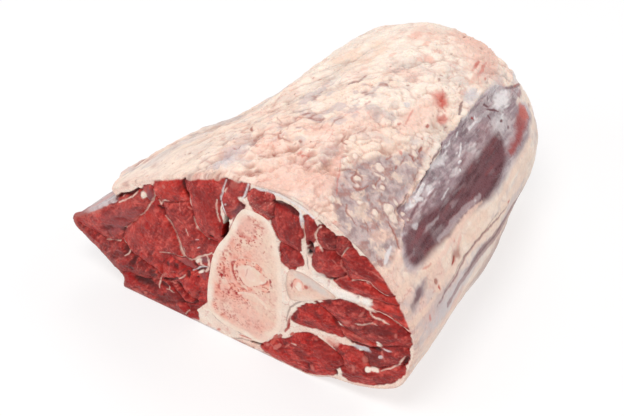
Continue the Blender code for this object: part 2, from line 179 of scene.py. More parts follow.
# Muscles of the front cut: tone, second tone, fibre direction in degrees, outline
MUSCLES = {
    "m1": ("rose", "greyed", 38, (
        (-95, 31), (-92, 38), (-86, 48), (-75, 54), (-62, 65), (-54, 72), (-50, 68), (-51, 63), (-56, 56),
        (-60, 50), (-66, 44), (-69, 37), (-71, 33), (-79, 30.5))),
    "m1b": ("greyed", "mauve", 60, ((-52, 72), (-49, 77), (-46, 77), (-46, 72), (-49, 69))),
    "m2": ("meat", "bright", 62, (
        (-45, 73), (-42, 69), (-39, 63), (-36, 59), (-33, 54), (-31.5, 49), (-32, 45), (-30, 41.5),
        (-40, 38.5), (-44, 30), (-44, 22), (-48, 24), (-55, 25.5), (-63, 28), (-66, 31), (-68, 34.5),
        (-66, 43), (-58, 51), (-50, 64))),
    "m3": ("maroon", "dark", 52, (
        (-96, 30), (-88, 21), (-78, 14), (-70, 12), (-64, 13), (-55, 14), (-50, 17), (-48, 22),
        (-55, 24.5), (-63, 26.5), (-66, 30), (-70, 32), (-79, 29))),
    "m4": ("deep", "red", 30, (
        (-72, 2), (-69, 10.5), (-66, 12), (-58, 13), (-48, 14), (-40, 20), (-33, 13), (-30, 9), (-31, 1.5),
        (-50, 0.5))),
    "m5": ("bright", "salmon", 50, (
        (-45, 75), (-43, 82), (-36, 88), (-32, 91), (-26, 94), (-26.5, 87), (-24.5, 82), (-26, 78.5),
        (-33, 75), (-40, 72))),
    "m6": ("maroon", "meat", 55, (
        (-40, 71), (-33, 74.5), (-25, 77), (-22.5, 72), (-20, 66), (-15, 61.5), (-9, 61), (-10, 57),
        (-15, 51), (-20, 47), (-25, 42.5), (-28, 44), (-31, 48), (-33, 54), (-38, 62))),
    "m7": ("meat", "maroon", 72, (
        (-25, 94), (-20, 98), (-10, 103), (-5, 104), (-3, 101), (-5, 95), (-7, 89), (-8, 82), (-7, 75),
        (-5.5, 67), (-7, 62.5), (-14, 61.5), (-19, 65), (-22, 74), (-24, 82))),
    "m8": ("rose", "maroon", 60, (
        (-3.5, 94), (-1, 102), (6, 105), (10, 106.5), (9, 100), (6, 94), (7, 91), (4, 87), (0.5, 82),
        (-2, 81), (-4, 89))),
    "m9": ("greyed", "mauve", 20, (
        (-38, 40), (-30, 40), (-25, 41), (-21.5, 39.5), (-24, 36.5), (-28, 36), (-35, 37))),
    "m10": ("red", "deep", 55, (
        (-28, 36), (-20, 34), (-19.5, 29), (-22.5, 20), (-26, 15), (-35, 22), (-44, 20), (-44, 30),
        (-36, 37))),
    "m10b": ("deep", "red", 30, (
        (-33, 20), (-26, 15), (-24, 14), (-27, 10), (-25, 6.5), (-25, 1.5), (-31, 1), (-30, 9), (-34, 13),
        (-40, 19))),
    "m11": ("rose", "pale_rose", 50, (
        (12, 95), (11.5, 99), (15, 103), (21, 104.5), (24, 103), (24, 96), (25, 92.5), (22, 91), (15, 92))),
    "m12": ("maroon", "meat", 80, (
        (25, 96), (28, 100), (37, 100), (39.5, 96), (40, 90), (39, 81), (36.5, 79), (29, 80), (26.5, 84),
        (24, 91))),
    "m13": ("maroon", "deep", 60, (
        (28.5, 77.5), (37, 77), (39.5, 75), (39.5, 71), (37, 69), (35, 66.5), (31, 66), (29, 71))),
    "m15": ("deep", "maroon", 70, ((42, 100), (45.5, 99), (46.5, 92), (45, 88), (42.5, 87))),
    "m16": ("dark", "maroon", 20, ((49, 92), (51, 97.5), (57, 95), (58, 90), (55, 88), (51.5, 87))),
    "m17": ("dark", "deep", 60, ((59, 94), (62, 96), (64.5, 95), (62, 90), (60, 87), (58, 89))),
    "m18": ("maroon", "meat", 50, (
        (51, 85), (56, 87), (60, 85.5), (62, 82), (63, 78), (60, 74), (55, 71.5), (50, 71.5), (46.5, 76),
        (48, 83))),
    "m19": ("maroon", "meat", 10, (
        (62, 86), (64, 90), (66, 92), (70, 89.5), (74, 89.5), (79, 87.5), (86, 81), (88, 78), (86, 76),
        (79, 77), (74, 79), (68, 76.5), (65, 78))),
    "m20": ("meat", "deep", 8, (
        (58, 70.5), (62, 73.5), (70, 75.5), (79, 74), (86, 73), (91, 76), (92, 70.5), (78, 70),
        (67, 68.5))),
    "m21": ("salmon", "bright", 20, (
        (79, 65.5), (80, 69), (86, 70), (93, 74.5), (96.5, 69), (98, 64), (98, 59), (90, 62),
        (79, 63.5))),
    "m14a": ("red", "meat", 20, (
        (34.5, 33), (38, 41), (42, 46), (48, 49.5), (52, 52.5), (57, 47), (60, 42.5), (62.5, 39),
        (62, 37), (50, 35), (40, 33))),
    "m14b": ("maroon", "dark", 35, (
        (49, 51), (51, 54), (62, 59.5), (69, 60.5), (75, 60), (80, 60), (91, 61), (98, 56), (97, 49),
        (84, 43.5), (71, 41.5), (60, 46))),
    "m14c": ("red", "pale_rose", 12, (
        (60.5, 42), (71, 42), (80, 44), (84, 41.5), (77, 38), (70, 36.5), (64, 37.5))),
    "m22": ("maroon", "dark", 40, (
        (84, 41), (92, 46), (97, 48), (96, 38), (90, 34), (80, 27), (76, 30), (76.5, 36))),
    "m23": ("meat", "deep", 30, (
        (59, 28.5), (66, 31.5), (74, 31), (76, 25.5), (80, 24.5), (86, 28), (95, 35), (94, 29), (87, 21),
        (80, 16), (72, 12.5), (65, 11), (61.5, 15), (64, 19), (60.5, 26))),
    "m24": ("red", "maroon", 25, (
        (37, 24), (46, 28), (54, 25.5), (62, 22.5), (63.5, 20), (60.5, 15), (57, 9), (47, 1.5), (35, 0.5),
        (20, 1.5), (16, 5), (23, 12), (33, 19))),
}
MUSCLE_SWELL = 0.7
LINE_WIDTH = 0.66
# How far muscles reach beyond their outlines where not by the usual amount, and how strongly they are folded,
# which also sets the painted shade in their folds
SWELLS = {
    "m1": 1.7, "m1b": 1.7, "m2": 1.7, "m3": 2.2, "m4": 2.0, "m5": 1.7, "m6": 1.7, "m7": 2.0, "m9": 1.7,
    "m10": 1.7,
    "m10b": 1.7, "m15": 1.9, "m16": 2.4, "m17": 2.4, "m18": 1.8, "m19": 2.3, "m20": 1.6, "m21": 1.3,
    "m14a": 1.1,
    "m14b": 1.2, "m22": 1.6, "m23": 1.6, "m24": 1.4, "m12": 1.6, "m13": 1.3, "m11": 1.7, "m8": 1.7,
}
FOLDS = {
    "m1": 0.7, "m2": 0.5, "m3": 1.0, "m4": 0.9, "m10": 1.0, "m10b": 1.0, "m24": 0.7, "m23": 0.6, "m14b": 0.6,
    "m22": 0.6, "m9": 0.5, "m16": 0.6, "m17": 0.6, "m19": 0.45,
}
USUAL_FOLDS = 0.3

# Spots of the front cut: tone, strength, depth, centre x, z, half length, half width, tilt in degrees
# Shade and black spots are painted shade in the hollows they sink into
CUT_SPOTS = (
    ("greyed", 0.7, 0, -70, 47, 11, 4.5, 30), ("mauve", 0.5, 0, -72, 40.5, 9, 2.5, 30),
    # The dark and shade spots along the band from (-81, 37) to (-66, 43) are a painted shadow
    ("dark", 0.9, 0.6, -77, 38.5, 4.5, 1.4, 30), ("deep", 0.8, 0.3, -66, 49, 5, 1.2, 20),
    ("shade", 0.7, 0.6, -67.5, 41.5, 2.6, 1.4, 40), ("pale_rose", 0.6, 0, -85, 46, 5, 2.2, 35),
    ("blood", 0.75, 0.2, -87, 32, 3.6, 2, 0), ("blood", 0.5, 0, -96.5, 33.5, 2.8, 1.6, 0),
    ("cream", 0.9, -0.3, -52, 71, 1.5, 2.4, -20), ("mauve", 0.8, 0, -48, 73, 1.8, 3.2, -10),
    ("salmon", 0.5, 0, -63, 61, 7, 3, 40), ("greyed", 0.7, 0, -60, 56, 4.5, 3, 35),
    ("blood", 0.8, 0.6, -44.5, 69.5, 2.3, 3.2, 10), ("shade", 0.9, 0.8, -42.5, 67.5, 1.8, 0.9, -20),
    ("bright", 0.6, 0, -50, 59, 5, 4, 30), ("blood", 0.8, 0.2, -51.5, 53.5, 1.6, 2.4, 20),
    ("salmon", 0.5, 0, -57, 51, 2.5, 5, -30), ("rose", 0.5, 0, -60, 40, 6, 3.5, 0),
    ("maroon", 0.6, 0, -55, 47.5, 3.5, 3, 0), ("blood", 0.5, 0, -56, 31, 3, 1.2, 5),
    ("blood", 0.6, 0, -44, 43.5, 2.2, 1, 20), ("deep", 0.6, 0, -39, 52, 1.3, 5, -25),
    ("bright", 0.6, 0, -43, 27, 4, 3, 10), ("shade", 0.8, 0.4, -40.3, 32, 1.2, 1.6, 0),
    ("shade", 0.75, 0.5, -67, 29.5, 1.6, 2.6, 30), ("dark", 0.7, 0.2, -72, 23, 7, 2.5, 30),
    ("shade", 0.8, 0.6, -62.5, 23, 1.2, 3.8, -30), ("dark", 0.7, 0.3, -58, 22.5, 2, 1.3, 0),
    ("shade", 0.7, 0.5, -50.5, 20, 2.4, 3.4, 20), ("shade", 0.8, 0.5, -64.5, 17, 1, 1.2, 0),
    ("blood", 0.9, -0.2, -66.5, 9, 2.8, 4.2, -25), ("shade", 0.9, 1.2, -57, 11.5, 7.5, 1.8, 6),
    ("shade", 0.6, 0.3, -44, 6, 5.5, 2.6, 25), ("dark", 0.6, 0.3, -38, 11, 6, 2.4, 20),
    ("pale_rose", 0.7, 0, -62, 1.8, 3, 1.2, 0), ("pale_rose", 0.9, 0, -56.5, 4.6, 1, 0.8, 0),
    ("shade", 0.8, 0.9, -43.5, 16.5, 3.2, 1.6, 0), ("shade", 0.7, 0.5, -34.5, 34, 1.7, 1.1, -30),
    ("shade", 0.9, 0.8, -33.5, 21.5, 2, 1.5, -30), ("blood", 0.7, 0, -27, 25, 2.5, 2, 30),
    ("blood", 0.8, 0.2, -22.5, 31, 2.6, 2, 30), ("shade", 0.8, 0.5, -21.2, 32.5, 0.8, 0.8, 0),
    ("shade", 0.9, 0.8, -27, 32, 1, 2, 0), ("salmon", 0.6, 0, -25, 19, 1.5, 5, -20),
    ("blood", 0.8, 0.3, -30.5, 6.5, 2.6, 2, 30), ("shade", 0.9, 0.7, -24, 14, 1.1, 1.6, -30),
    ("blood", 1, 0.3, -27, 3.4, 2.6, 2.6, 30), ("shade", 0.7, 0.6, -32.5, 10.5, 3.5, 0.8, 25),
    ("bright", 0.7, 0, -36, 82.5, 6, 4, 50), ("pale_rose", 0.9, 0, -38.8, 82.6, 1, 0.9, 0),
    ("blood", 0.9, 0.4, -28.8, 90, 1.6, 2.6, -20), ("shade", 1, 1.4, -24.7, 84, 0.7, 1.7, 12),
    ("bright", 0.6, 0, -14, 99.5, 8, 3, 25), ("maroon", 0.5, 0, -14, 82, 5, 9, 0),
    ("shade", 0.9, 0.8, -11.8, 63.6, 1.5, 0.7, 0), ("blood", 0.7, 0.2, -9, 62.2, 2.2, 1.2, 0),
    ("pale_rose", 0.5, 0, -10.5, 67, 1, 2.4, -10), ("blood", 0.6, 0, -5.5, 69.5, 0.7, 3, -6),
    ("mauve", 0.9, 0.3, -17.2, 45.8, 2.9, 1.9, 35), ("cream", 0.9, 0, -21, 43.2, 2.6, 1.1, 50),
    ("greyed", 0.8, 0, -28, 38.2, 4.5, 2, 5), ("shade", 0.9, 0.4, -22.5, 40, 1.9, 1, -40),
    ("greyed", 0.9, 0, -18.2, 34.2, 1.5, 2.6, 0), ("cream", 0.9, 0, -19.8, 36.6, 2.2, 0.8, 35),
    ("shade", 0.7, 0.4, -14.6, 47.3, 0.6, 1, 0),
    ("violet", 0.8, 0.5, 4.4, 86.4, 1.6, 5.2, -42), ("greyed", 0.8, 0.3, 2.4, 82, 1.8, 2.2, -40),
    ("pale_rose", 0.5, 0, 1.4, 86, 0.5, 2.6, -45), ("pale_rose", 0.7, 0, 2.8, 92, 0.8, 0.9, 0),
    ("meat", 0.6, 0, 2.4, 97, 3, 2.6, 0), ("pale_rose", 0.5, 0, 3, 102, 3, 1.8, 20),
    ("cream", 1, -0.3, 7.5, 94.4, 2.1, 1.5, -30), ("shade", 0.7, 0.3, 7, 90.8, 1.6, 1, -50),
    ("dark", 0.6, 0, 20, 93.5, 4.5, 1.6, -10), ("dark", 0.8, 0.5, 44.5, 85, 0.8, 2, 10),
    ("dark", 0.95, 0.4, 44, 81.6, 3.0, 2.3, 60),
    ("black", 1, 1.2, 43.6, 80.6, 1.7, 1.3, 60), ("shade", 1, 1.2, 44.8, 85, 1.0, 2.0, 0),
    ("violet", 0.8, 0.4, 46, 81.6, 0.8, 1.6, 20),
    ("dark", 0.7, 0.2, 55, 94, 2.6, 1.8, -40), ("deep", 0.6, 0, 47.5, 77, 1.2, 4, 0),
    ("deep", 0.7, 0, 72, 83.5, 3, 2.4, 0), ("bright", 0.9, 0, 83, 79, 3.8, 2.4, -20),
    ("pale_rose", 0.8, 0, 69.8, 81, 0.8, 0.8, 0), ("deep", 0.7, 0.2, 63, 71, 5, 1.5, 5),
    ("bright", 0.5, 0, 88, 74, 4, 1.8, 5), ("bright", 0.6, 0, 92, 74.5, 3.4, 2.4, -50),
    ("shade", 0.8, 0.7, 57, 70.7, 2.4, 0.8, 20), ("blood", 0.5, 0.2, 54.6, 67, 0.6, 2.6, 0),
    ("deep", 0.9, 0.4, 70.6, 65.6, 0.7, 1.8, -15), ("grey_fat", 0.7, 0, 50, 69.4, 3.4, 1.2, 0),
    ("tendon", 1, -0.8, 64, 64, 9, 2.6, 6), ("tendon", 1, -0.6, 75.4, 65.6, 2.4, 2.4, 30),
    ("tendon", 0.7, -0.2, 50, 66.4, 5, 1.6, 0),
    ("meat", 1, 0, 85, 61, 7.5, 1.1, -3), ("shade", 0.8, 0.5, 54.5, 55.3, 2.2, 1.7, 40),
    ("cream", 0.9, 0, 50, 53.4, 1.5, 0.8, 15), ("dark", 0.8, 0.2, 82, 52, 9, 2.6, 20),
    ("dark", 0.7, 0.2, 68, 44.5, 5, 1.6, 15), ("pale_rose", 0.8, 0, 64, 47.6, 3.2, 0.8, 28),
    ("pale_rose", 0.8, 0, 68.8, 46.4, 0.9, 1.6, -20), ("pale_rose", 0.7, 0, 72.6, 57.4, 0.8, 2.2, -30),
    ("pale_rose", 0.8, 0, 83.8, 49.6, 1.2, 0.6, 0), ("pale_rose", 0.8, 0, 91.2, 54, 0.7, 1.6, -10),
    ("pale_rose", 0.8, 0, 71.5, 41.6, 3.4, 0.6, 12), ("cream", 1, -0.2, 82.8, 43.2, 1.5, 2, 10),
    ("silver", 0.6, 0, 86.5, 41.6, 2.4, 0.7, 10), ("bright", 0.5, 0, 79, 42.6, 2.6, 1.2, 20),
    ("shade", 0.9, 1, 72, 37.6, 6.5, 0.8, 12), ("membrane", 1, 0.6, 73, 35, 4.8, 1.4, 12),
    ("shade", 0.9, 1, 81.5, 39.2, 3.2, 0.8, 8), ("pale_rose", 0.9, 0, 84.8, 37, 0.6, 2.8, 20),
    ("dark", 0.7, 0.3, 80, 33, 4, 4, 0), ("shade", 0.7, 0.8, 76.3, 29.6, 0.9, 3.4, 20),
    ("silver", 0.6, 0, 84, 35.5, 0.8, 1.4, -40), ("pale_rose", 0.9, 0, 74.8, 28.8, 1.1, 2, 0),
    ("cream", 1, -0.2, 77, 23.6, 1.5, 1.7, 30), ("cream", 0.9, -0.2, 80.5, 25.2, 2.6, 1.2, 15),
    ("shade", 0.9, 1.2, 96.4, 39.2, 0.8, 3.8, -18), ("pale_rose", 0.9, 0, 69.4, 20.6, 0.8, 2.6, 5),
    ("pale_rose", 0.6, 0, 67.4, 20.2, 1.6, 0.6, 20), ("shade", 0.8, 0.5, 62.7, 23.4, 1.4, 0.7, -30),
    ("deep", 0.6, 0, 68.5, 14, 6, 3, 10), ("cream", 1, -0.1, 61, 12.2, 1.5, 2.3, 0),
    ("shade", 0.7, 0.8, 59.2, 11, 0.7, 2.4, 10), ("deep", 0.6, 0, 55, 19.5, 7, 3, 10),
    ("blood", 0.5, 0, 50, 15.2, 5, 1, 5), ("pale_rose", 0.9, 0, 46.3, 8, 0.9, 1.6, 20),
    ("shade", 0.7, 0.6, 44.4, 8.4, 0.6, 2, 10), ("dark", 0.6, 0, 40, 14, 4, 3, 0),
    ("pale_rose", 0.5, 0, 47.5, 27.2, 1, 0.8, 0), ("bright", 0.5, 0, 26, 5, 9, 3, 0),
    ("blood", 0.7, 0.4, 58.8, 38.6, 2.6, 1.6, -40), ("shade", 0.7, 0.8, 58.6, 44, 0.7, 3.4, 30),
    ("shade", 0.6, 0.6, 36.4, 37, 1, 4, -18), ("blood", 0.8, 0.4, 32, 29.5, 0.7, 4.5, -12),
    ("pink_fat", 0.9, 0, 56, 30.6, 4.5, 2.6, 10), ("pale_rose", 0.6, 0, 56.4, 29, 2.6, 1.6, 0),
)

# Lines of the front cut: tone, strength, half width, depth, path
# Shade, shadow and black lines are painted shade in the grooves they sink into
CUT_LINES = (
    ("cream", 0.95, 0.55, 0.3, ((-45.3, 77), (-45.2, 73.5), (-47, 70), (-50, 64), (-53, 59), (-56, 55.8))),
    ("pale_rose", 0.8, 0.5, 0.3, ((-56, 55.8), (-60, 50), (-64, 45), (-66.5, 43))),
    ("cream", 0.8, 0.8, 0.2, ((-66.6, 43.4), (-65.4, 44))),
    ("cream", 0.9, 0.5, 0.2, ((-43.4, 72), (-42, 69.6), (-41, 71.8), (-39, 73.6), (-36.5, 74.6))),
    ("cream", 1, 0.6, 0.35, ((-39.6, 63.2), (-36, 59), (-33.2, 55), (-31.7, 50), (-31.4, 46), (-30.2, 43.5))),
    ("cream", 1, 1.1, 0.2, ((-30.2, 44.8), (-29, 43), (-27.5, 42))),
    ("cream", 0.8, 0.5, 0.1, ((-29.4, 48), (-28.8, 45))),
    ("cream", 1, 0.75, 0.2, ((-29, 42), (-25, 41.9), (-22.4, 43.6), (-19.6, 46.8), (-16, 49.6),
        (-12.5, 52.6))),
    ("cream", 0.9, 0.45, 0.2, ((-29, 41.8), (-33, 41.2), (-38, 40.2), (-42, 39), (-44.5, 38.2))),
    ("cream", 0.9, 1.0, 0, ((-15.6, 49), (-14.4, 45), (-15.2, 41), (-17, 38))),
    ("cream", 0.9, 0.9, 0, ((-19.8, 44), (-19, 41.6), (-16.4, 41.4))),
    ("membrane", 0.9, 0.4, 0, ((-24.6, 35.2), (-22, 37.4), (-20, 39.4), (-16, 41.6))),
    ("shade", 0.8, 0.5, 0.5, ((-23.6, 34.6), (-20, 38), (-16.4, 40.6))),
    ("cream", 0.7, 0.5, 0.2, ((-23.4, 83), (-23.6, 80), (-22.8, 77.6))),
    ("pale_rose", 0.8, 0.7, 0.1, ((-25, 75.6), (-22.6, 74.8))),
    ("cream", 0.7, 0.5, 0.2, ((-22, 71), (-21.4, 68.6), (-20.4, 66), (-19, 64.4), (-16, 62.6),
        (-13.8, 60.8))),
    ("cream", 0.7, 0.8, 0, ((-20.3, 65.8), (-20, 65))),
    ("pale_rose", 0.9, 0.6, 0, ((-30.6, 76), (-30.2, 74.4))),
    ("pale_rose", 0.9, 0.6, 0, ((-30, 73), (-29.6, 71.6))),
    ("pale_rose", 0.7, 0.4, 0, ((-29.4, 78.4), (-26, 79.4))),
    ("pale_rose", 0.5, 0.5, 0, ((-31.6, 65.4), (-28, 64))),
    ("cream", 0.9, 0.5, 0.1, ((-26.6, 62.2), (-26.2, 60), (-25.4, 58.2))),
    ("silver", 0.7, 0.4, 0, ((-21.2, 57.6), (-19, 58.4))), ("silver", 0.8, 0.35, 0,
        ((-18.8, 54), (-20.4, 52.4))),
    ("pale_rose", 0.6, 0.4, 0, ((-23.6, 49.8), (-22.8, 51.6))),
    ("cream", 0.9, 0.55, 0.2, ((-7.4, 88.4), (-8, 85), (-7.8, 80), (-7.2, 77.4), (-6.4, 74.8))),
    ("silver", 0.95, 0.65, 0.1, ((-2, 102), (-3, 98), (-4.2, 95), (-5, 91), (-5.4, 88.6), (-4.8, 86),
        (-3.8, 83),
                                (-2.6, 80.6))),
    ("silver", 0.8, 0.6, 0, ((-4.8, 86.4), (-3.8, 83))),
    ("cream", 0.8, 0.5, 0, ((-4.2, 94.6), (-2.4, 95.2), (-1, 98.4))),
    ("silver", 0.6, 0.4, 0, ((-3, 87), (-1.8, 88.2))),
    ("silver", 0.95, 0.8, 0.1, ((10.8, 105.6), (9.6, 101), (8.4, 97.6), (7, 95))),
    ("cream", 0.9, 0.9, 0, ((7.4, 94.4), (8.6, 92.4), (9.6, 90.6))),
    ("shade", 0.9, 0.6, 1.0, ((-25.4, 94), (-27, 90), (-26.2, 87), (-24.8, 84), (-24.4, 82))),
    ("black", 1, 1.3, 4.6, ((-2.6, 79), (-3.3, 74), (-4, 69), (-4.8, 66))),
    ("blood", 0.6, 0.8, 0.8, ((-5.4, 63.6), (-3, 66.4), (-1.2, 71), (0.6, 76), (1.6, 80))),
    ("shade", 0.85, 2.0, 1.0, ((25.5, 101.4), (31, 101.2), (37, 100))),
    ("blood", 0.5, 0.7, 0, ((26, 99.6), (33, 99.4))),
    ("silver", 0.9, 1.3, 0, ((15, 105), (22, 106.4), (31, 106.2), (38, 105.2), (43, 103.6), (46, 101.6))),
    ("purple", 0.7, 0.35, 0, ((18, 106.6), (27, 107.8), (36, 107.2), (43, 105.2))),
    ("silver", 1, 1.2, 0, ((38.6, 103), (39.2, 99.5), (39.9, 96), (40.4, 93))),
    ("cream", 1, 0.7, 0, ((40, 96), (40.8, 92), (41.5, 88.6), (40.6, 86.2))),
    ("ivory", 0.95, 1.2, 0, ((40.6, 86), (41.3, 83), (41.2, 79), (41.8, 75.6), (43, 71))),
    ("violet", 0.6, 0.25, 0.1, ((42.2, 78), (42.6, 74.6), (43.6, 70))),
    ("cream", 0.95, 0.65, 0, ((50.2, 98.6), (48.4, 96.4), (47.3, 93), (47.5, 90), (48.6, 87.8), (50.2, 86),
        (51.4, 85))),
    ("cream", 0.9, 0.9, 0, ((48.8, 87.6), (50.4, 85.6))),
    ("cream", 0.85, 0.45, 0.1, ((64.6, 93), (63, 90.4), (62, 88), (61, 86))),
    ("pale_rose", 0.9, 0.4, 0.1, ((58.4, 88.6), (60.6, 86.2))),
    ("pale_rose", 0.8, 0.4, 0, ((53, 91), (54.4, 88.6), (56, 87.8), (57.6, 89))),
    ("pale_rose", 0.7, 0.5, 0, ((57, 83), (60, 80.4))),
    ("pale_rose", 0.8, 0.45, 0.1, ((61, 84), (61.4, 81), (63, 79), (64, 77.4), (64, 75.4))),
    ("pale_rose", 0.7, 0.4, 0.1, ((64, 75), (61, 73.4), (59, 71.4), (58, 69.8))),
    ("cream", 0.95, 0.5, 0.1, ((67.2, 75), (71, 77), (74, 78), (77, 78.4), (78.6, 77), (80.4, 75.8),
        (83.4, 75.2),
                              (86.6, 74.8))),
    ("pale_rose", 0.7, 0.35, 0, ((81, 70.3), (86.6, 70.8))),
    ("blush", 0.95, 0.6, 0, ((77.6, 62.8), (83, 63.4), (87, 62.6), (91, 61.4), (95, 60.2), (98, 60))),
    ("cream", 0.95, 0.55, 0.1, ((76.4, 61.4), (77.6, 59.6), (80, 58.6), (83, 59), (87.4, 58.5))),
    ("cream", 0.7, 0.5, 0.1, ((69.8, 50), (74, 51.6), (76.8, 53.6), (79, 55.4), (81.2, 55.2))),
    ("cream", 0.7, 0.7, 0, ((71.2, 50.2), (73.6, 51.2))),
    ("shade", 0.7, 0.5, 0.8, ((48.6, 101.4), (50.6, 100.4), (52.2, 99.4))),
    ("pale_rose", 0.8, 0.5, 0, ((77, 85.6), (80, 84.6), (83, 83.4))),
    ("cream", 0.9, 0.5, 0.2, ((-79.4, 29.2), (-76, 30.8), (-73, 31.6), (-70.4, 32.6))),
    ("cream", 0.85, 0.6, 0.2, ((-68.4, 34.6), (-66.6, 32.6), (-65.2, 30), (-63, 28))),
    ("cream", 0.85, 0.5, 0.2, ((-64.8, 29), (-65.6, 26.4), (-68, 24.2))),
    ("pale_rose", 0.6, 0.4, 0.2, ((-63, 27.6), (-56, 26.2), (-50, 25))),
    ("greyed", 0.8, 0.5, 0, ((-73.4, 25), (-71.6, 26.2), (-70, 26.4))),
    ("pale_rose", 0.6, 0.45, 0, ((-80, 20), (-77, 23.4))), ("pale_rose", 0.6, 0.4, 0,
        ((-75, 17), (-72.4, 20))),
    ("cream", 0.9, 0.6, 0, ((-46.2, 19.4), (-46.8, 16), (-47, 12.6))),
    ("pale_rose", 0.8, 0.9, 0, ((-45.8, 20), (-43, 23.6), (-42, 25))),
    ("cream", 0.8, 0.5, 0, ((-40, 17), (-39.8, 14.8), (-37.4, 13.8))),
    ("cream", 0.7, 0.5, 0, ((-39.8, 14.8), (-42, 14.4))),
    ("pale_rose", 0.9, 0.5, 0, ((-39.6, 19.8), (-36, 20.6))),
    ("cream", 0.9, 0.45, 0.1, ((-35.4, 24.8), (-32, 27.4), (-29.6, 29.4), (-28.6, 31.2))),
    ("shade", 0.8, 0.8, 0.8, ((-44, 19.4), (-38, 22.6), (-34, 26))),
    ("cream", 0.95, 0.5, 0, ((-31.4, 2), (-30, 4.4), (-28.2, 6.4))),
    ("shade", 0.7, 0.5, 0.5, ((-33, 9.4), (-29, 11.4), (-24.6, 12.6))),
    # Painted shade in the crevice under the flap, in dark red
    ("dark", 1, 0.7, 1.5, ((-71, 60), (-66, 64.6), (-62, 66.8), (-58, 70), (-55, 73.4))),
    ("cream", 0.95, 0.55, -0.2, ((-69, 58.4), (-64, 62.6), (-59.4, 66.6), (-55.6, 71.4))),
    ("silver", 0.9, 1.0, 0, ((-73.6, 56.2), (-71, 58.4))), ("cream", 0.9, 1.0, 0, ((-78, 52), (-76.4, 53.4))),
    ("shadow", 0.55, 0.35, 0.5, ((47.6, 54.6), (44, 51), (40, 48.4), (36, 44), (33, 40), (31.6, 35),
        (30.6, 30))),
    ("blood", 0.8, 0.6, 0.3, ((32.4, 29), (31.6, 26), (29.6, 22.6))),
    ("blood", 0.85, 0.8, 0.2, ((22.8, 21.4), (21.4, 18), (20, 15.4))),
    ("blood", 0.8, 0.9, 0.2, ((27.4, 19), (26, 16), (28.4, 13.4))),
    ("capillary", 0.9, 0.8, 0, ((34.6, 24.4), (33, 22))), ("capillary", 0.9, 0.9, 0,
        ((25, 18), (23.4, 14), (21, 9.4))),
    ("pale_rose", 0.9, 1.0, 0, ((20, 8.4), (18.6, 7))), ("pale_rose", 0.9, 1.4, 0, ((23.4, 8), (27, 12.4))),
    ("pale_rose", 0.8, 0.6, 0, ((30, 12.6), (32.4, 16))), ("pale_rose", 0.7, 0.5, 0,
        ((37.6, 7), (39.4, 7.4))),
    ("cream", 0.8, 0.45, 0, ((33.6, 17.4), (37, 18))), ("cream", 0.9, 0.45, 0.1,
        ((95.8, 41), (93.8, 37.4), (92.6, 34.6),
                                                                             (89, 30.6), (84, 26.4))),
    ("cream", 0.9, 0.5, 0, ((96.4, 43), (94.2, 38.6), (93.6, 36))),
    ("shade", 0.9, 0.9, 2.6, ((9.4, 4), (12, 4.8), (16, 6))),
    ("capillary", 0.8, 0.5, 0.3, ((2.4, 5.4), (6, 5.8), (9.6, 6.4))),
    ("shadow", 0.6, 0.35, 0.3, ((-14, 11), (-9, 8.6), (-3, 8), (1, 8.2), (3, 6.4))),
    ("shadow", 0.5, 0.4, 0.3, ((-2, 1), (3, 3), (9, 4.4))), ("capillary", 0.6, 0.6, 0,
        ((-11, 1.6), (-9.6, 2.8))),
    ("shadow", 0.4, 0.3, 0.2, ((31, 60), (30.6, 54), (32, 47.6), (33.6, 45.6))),
)

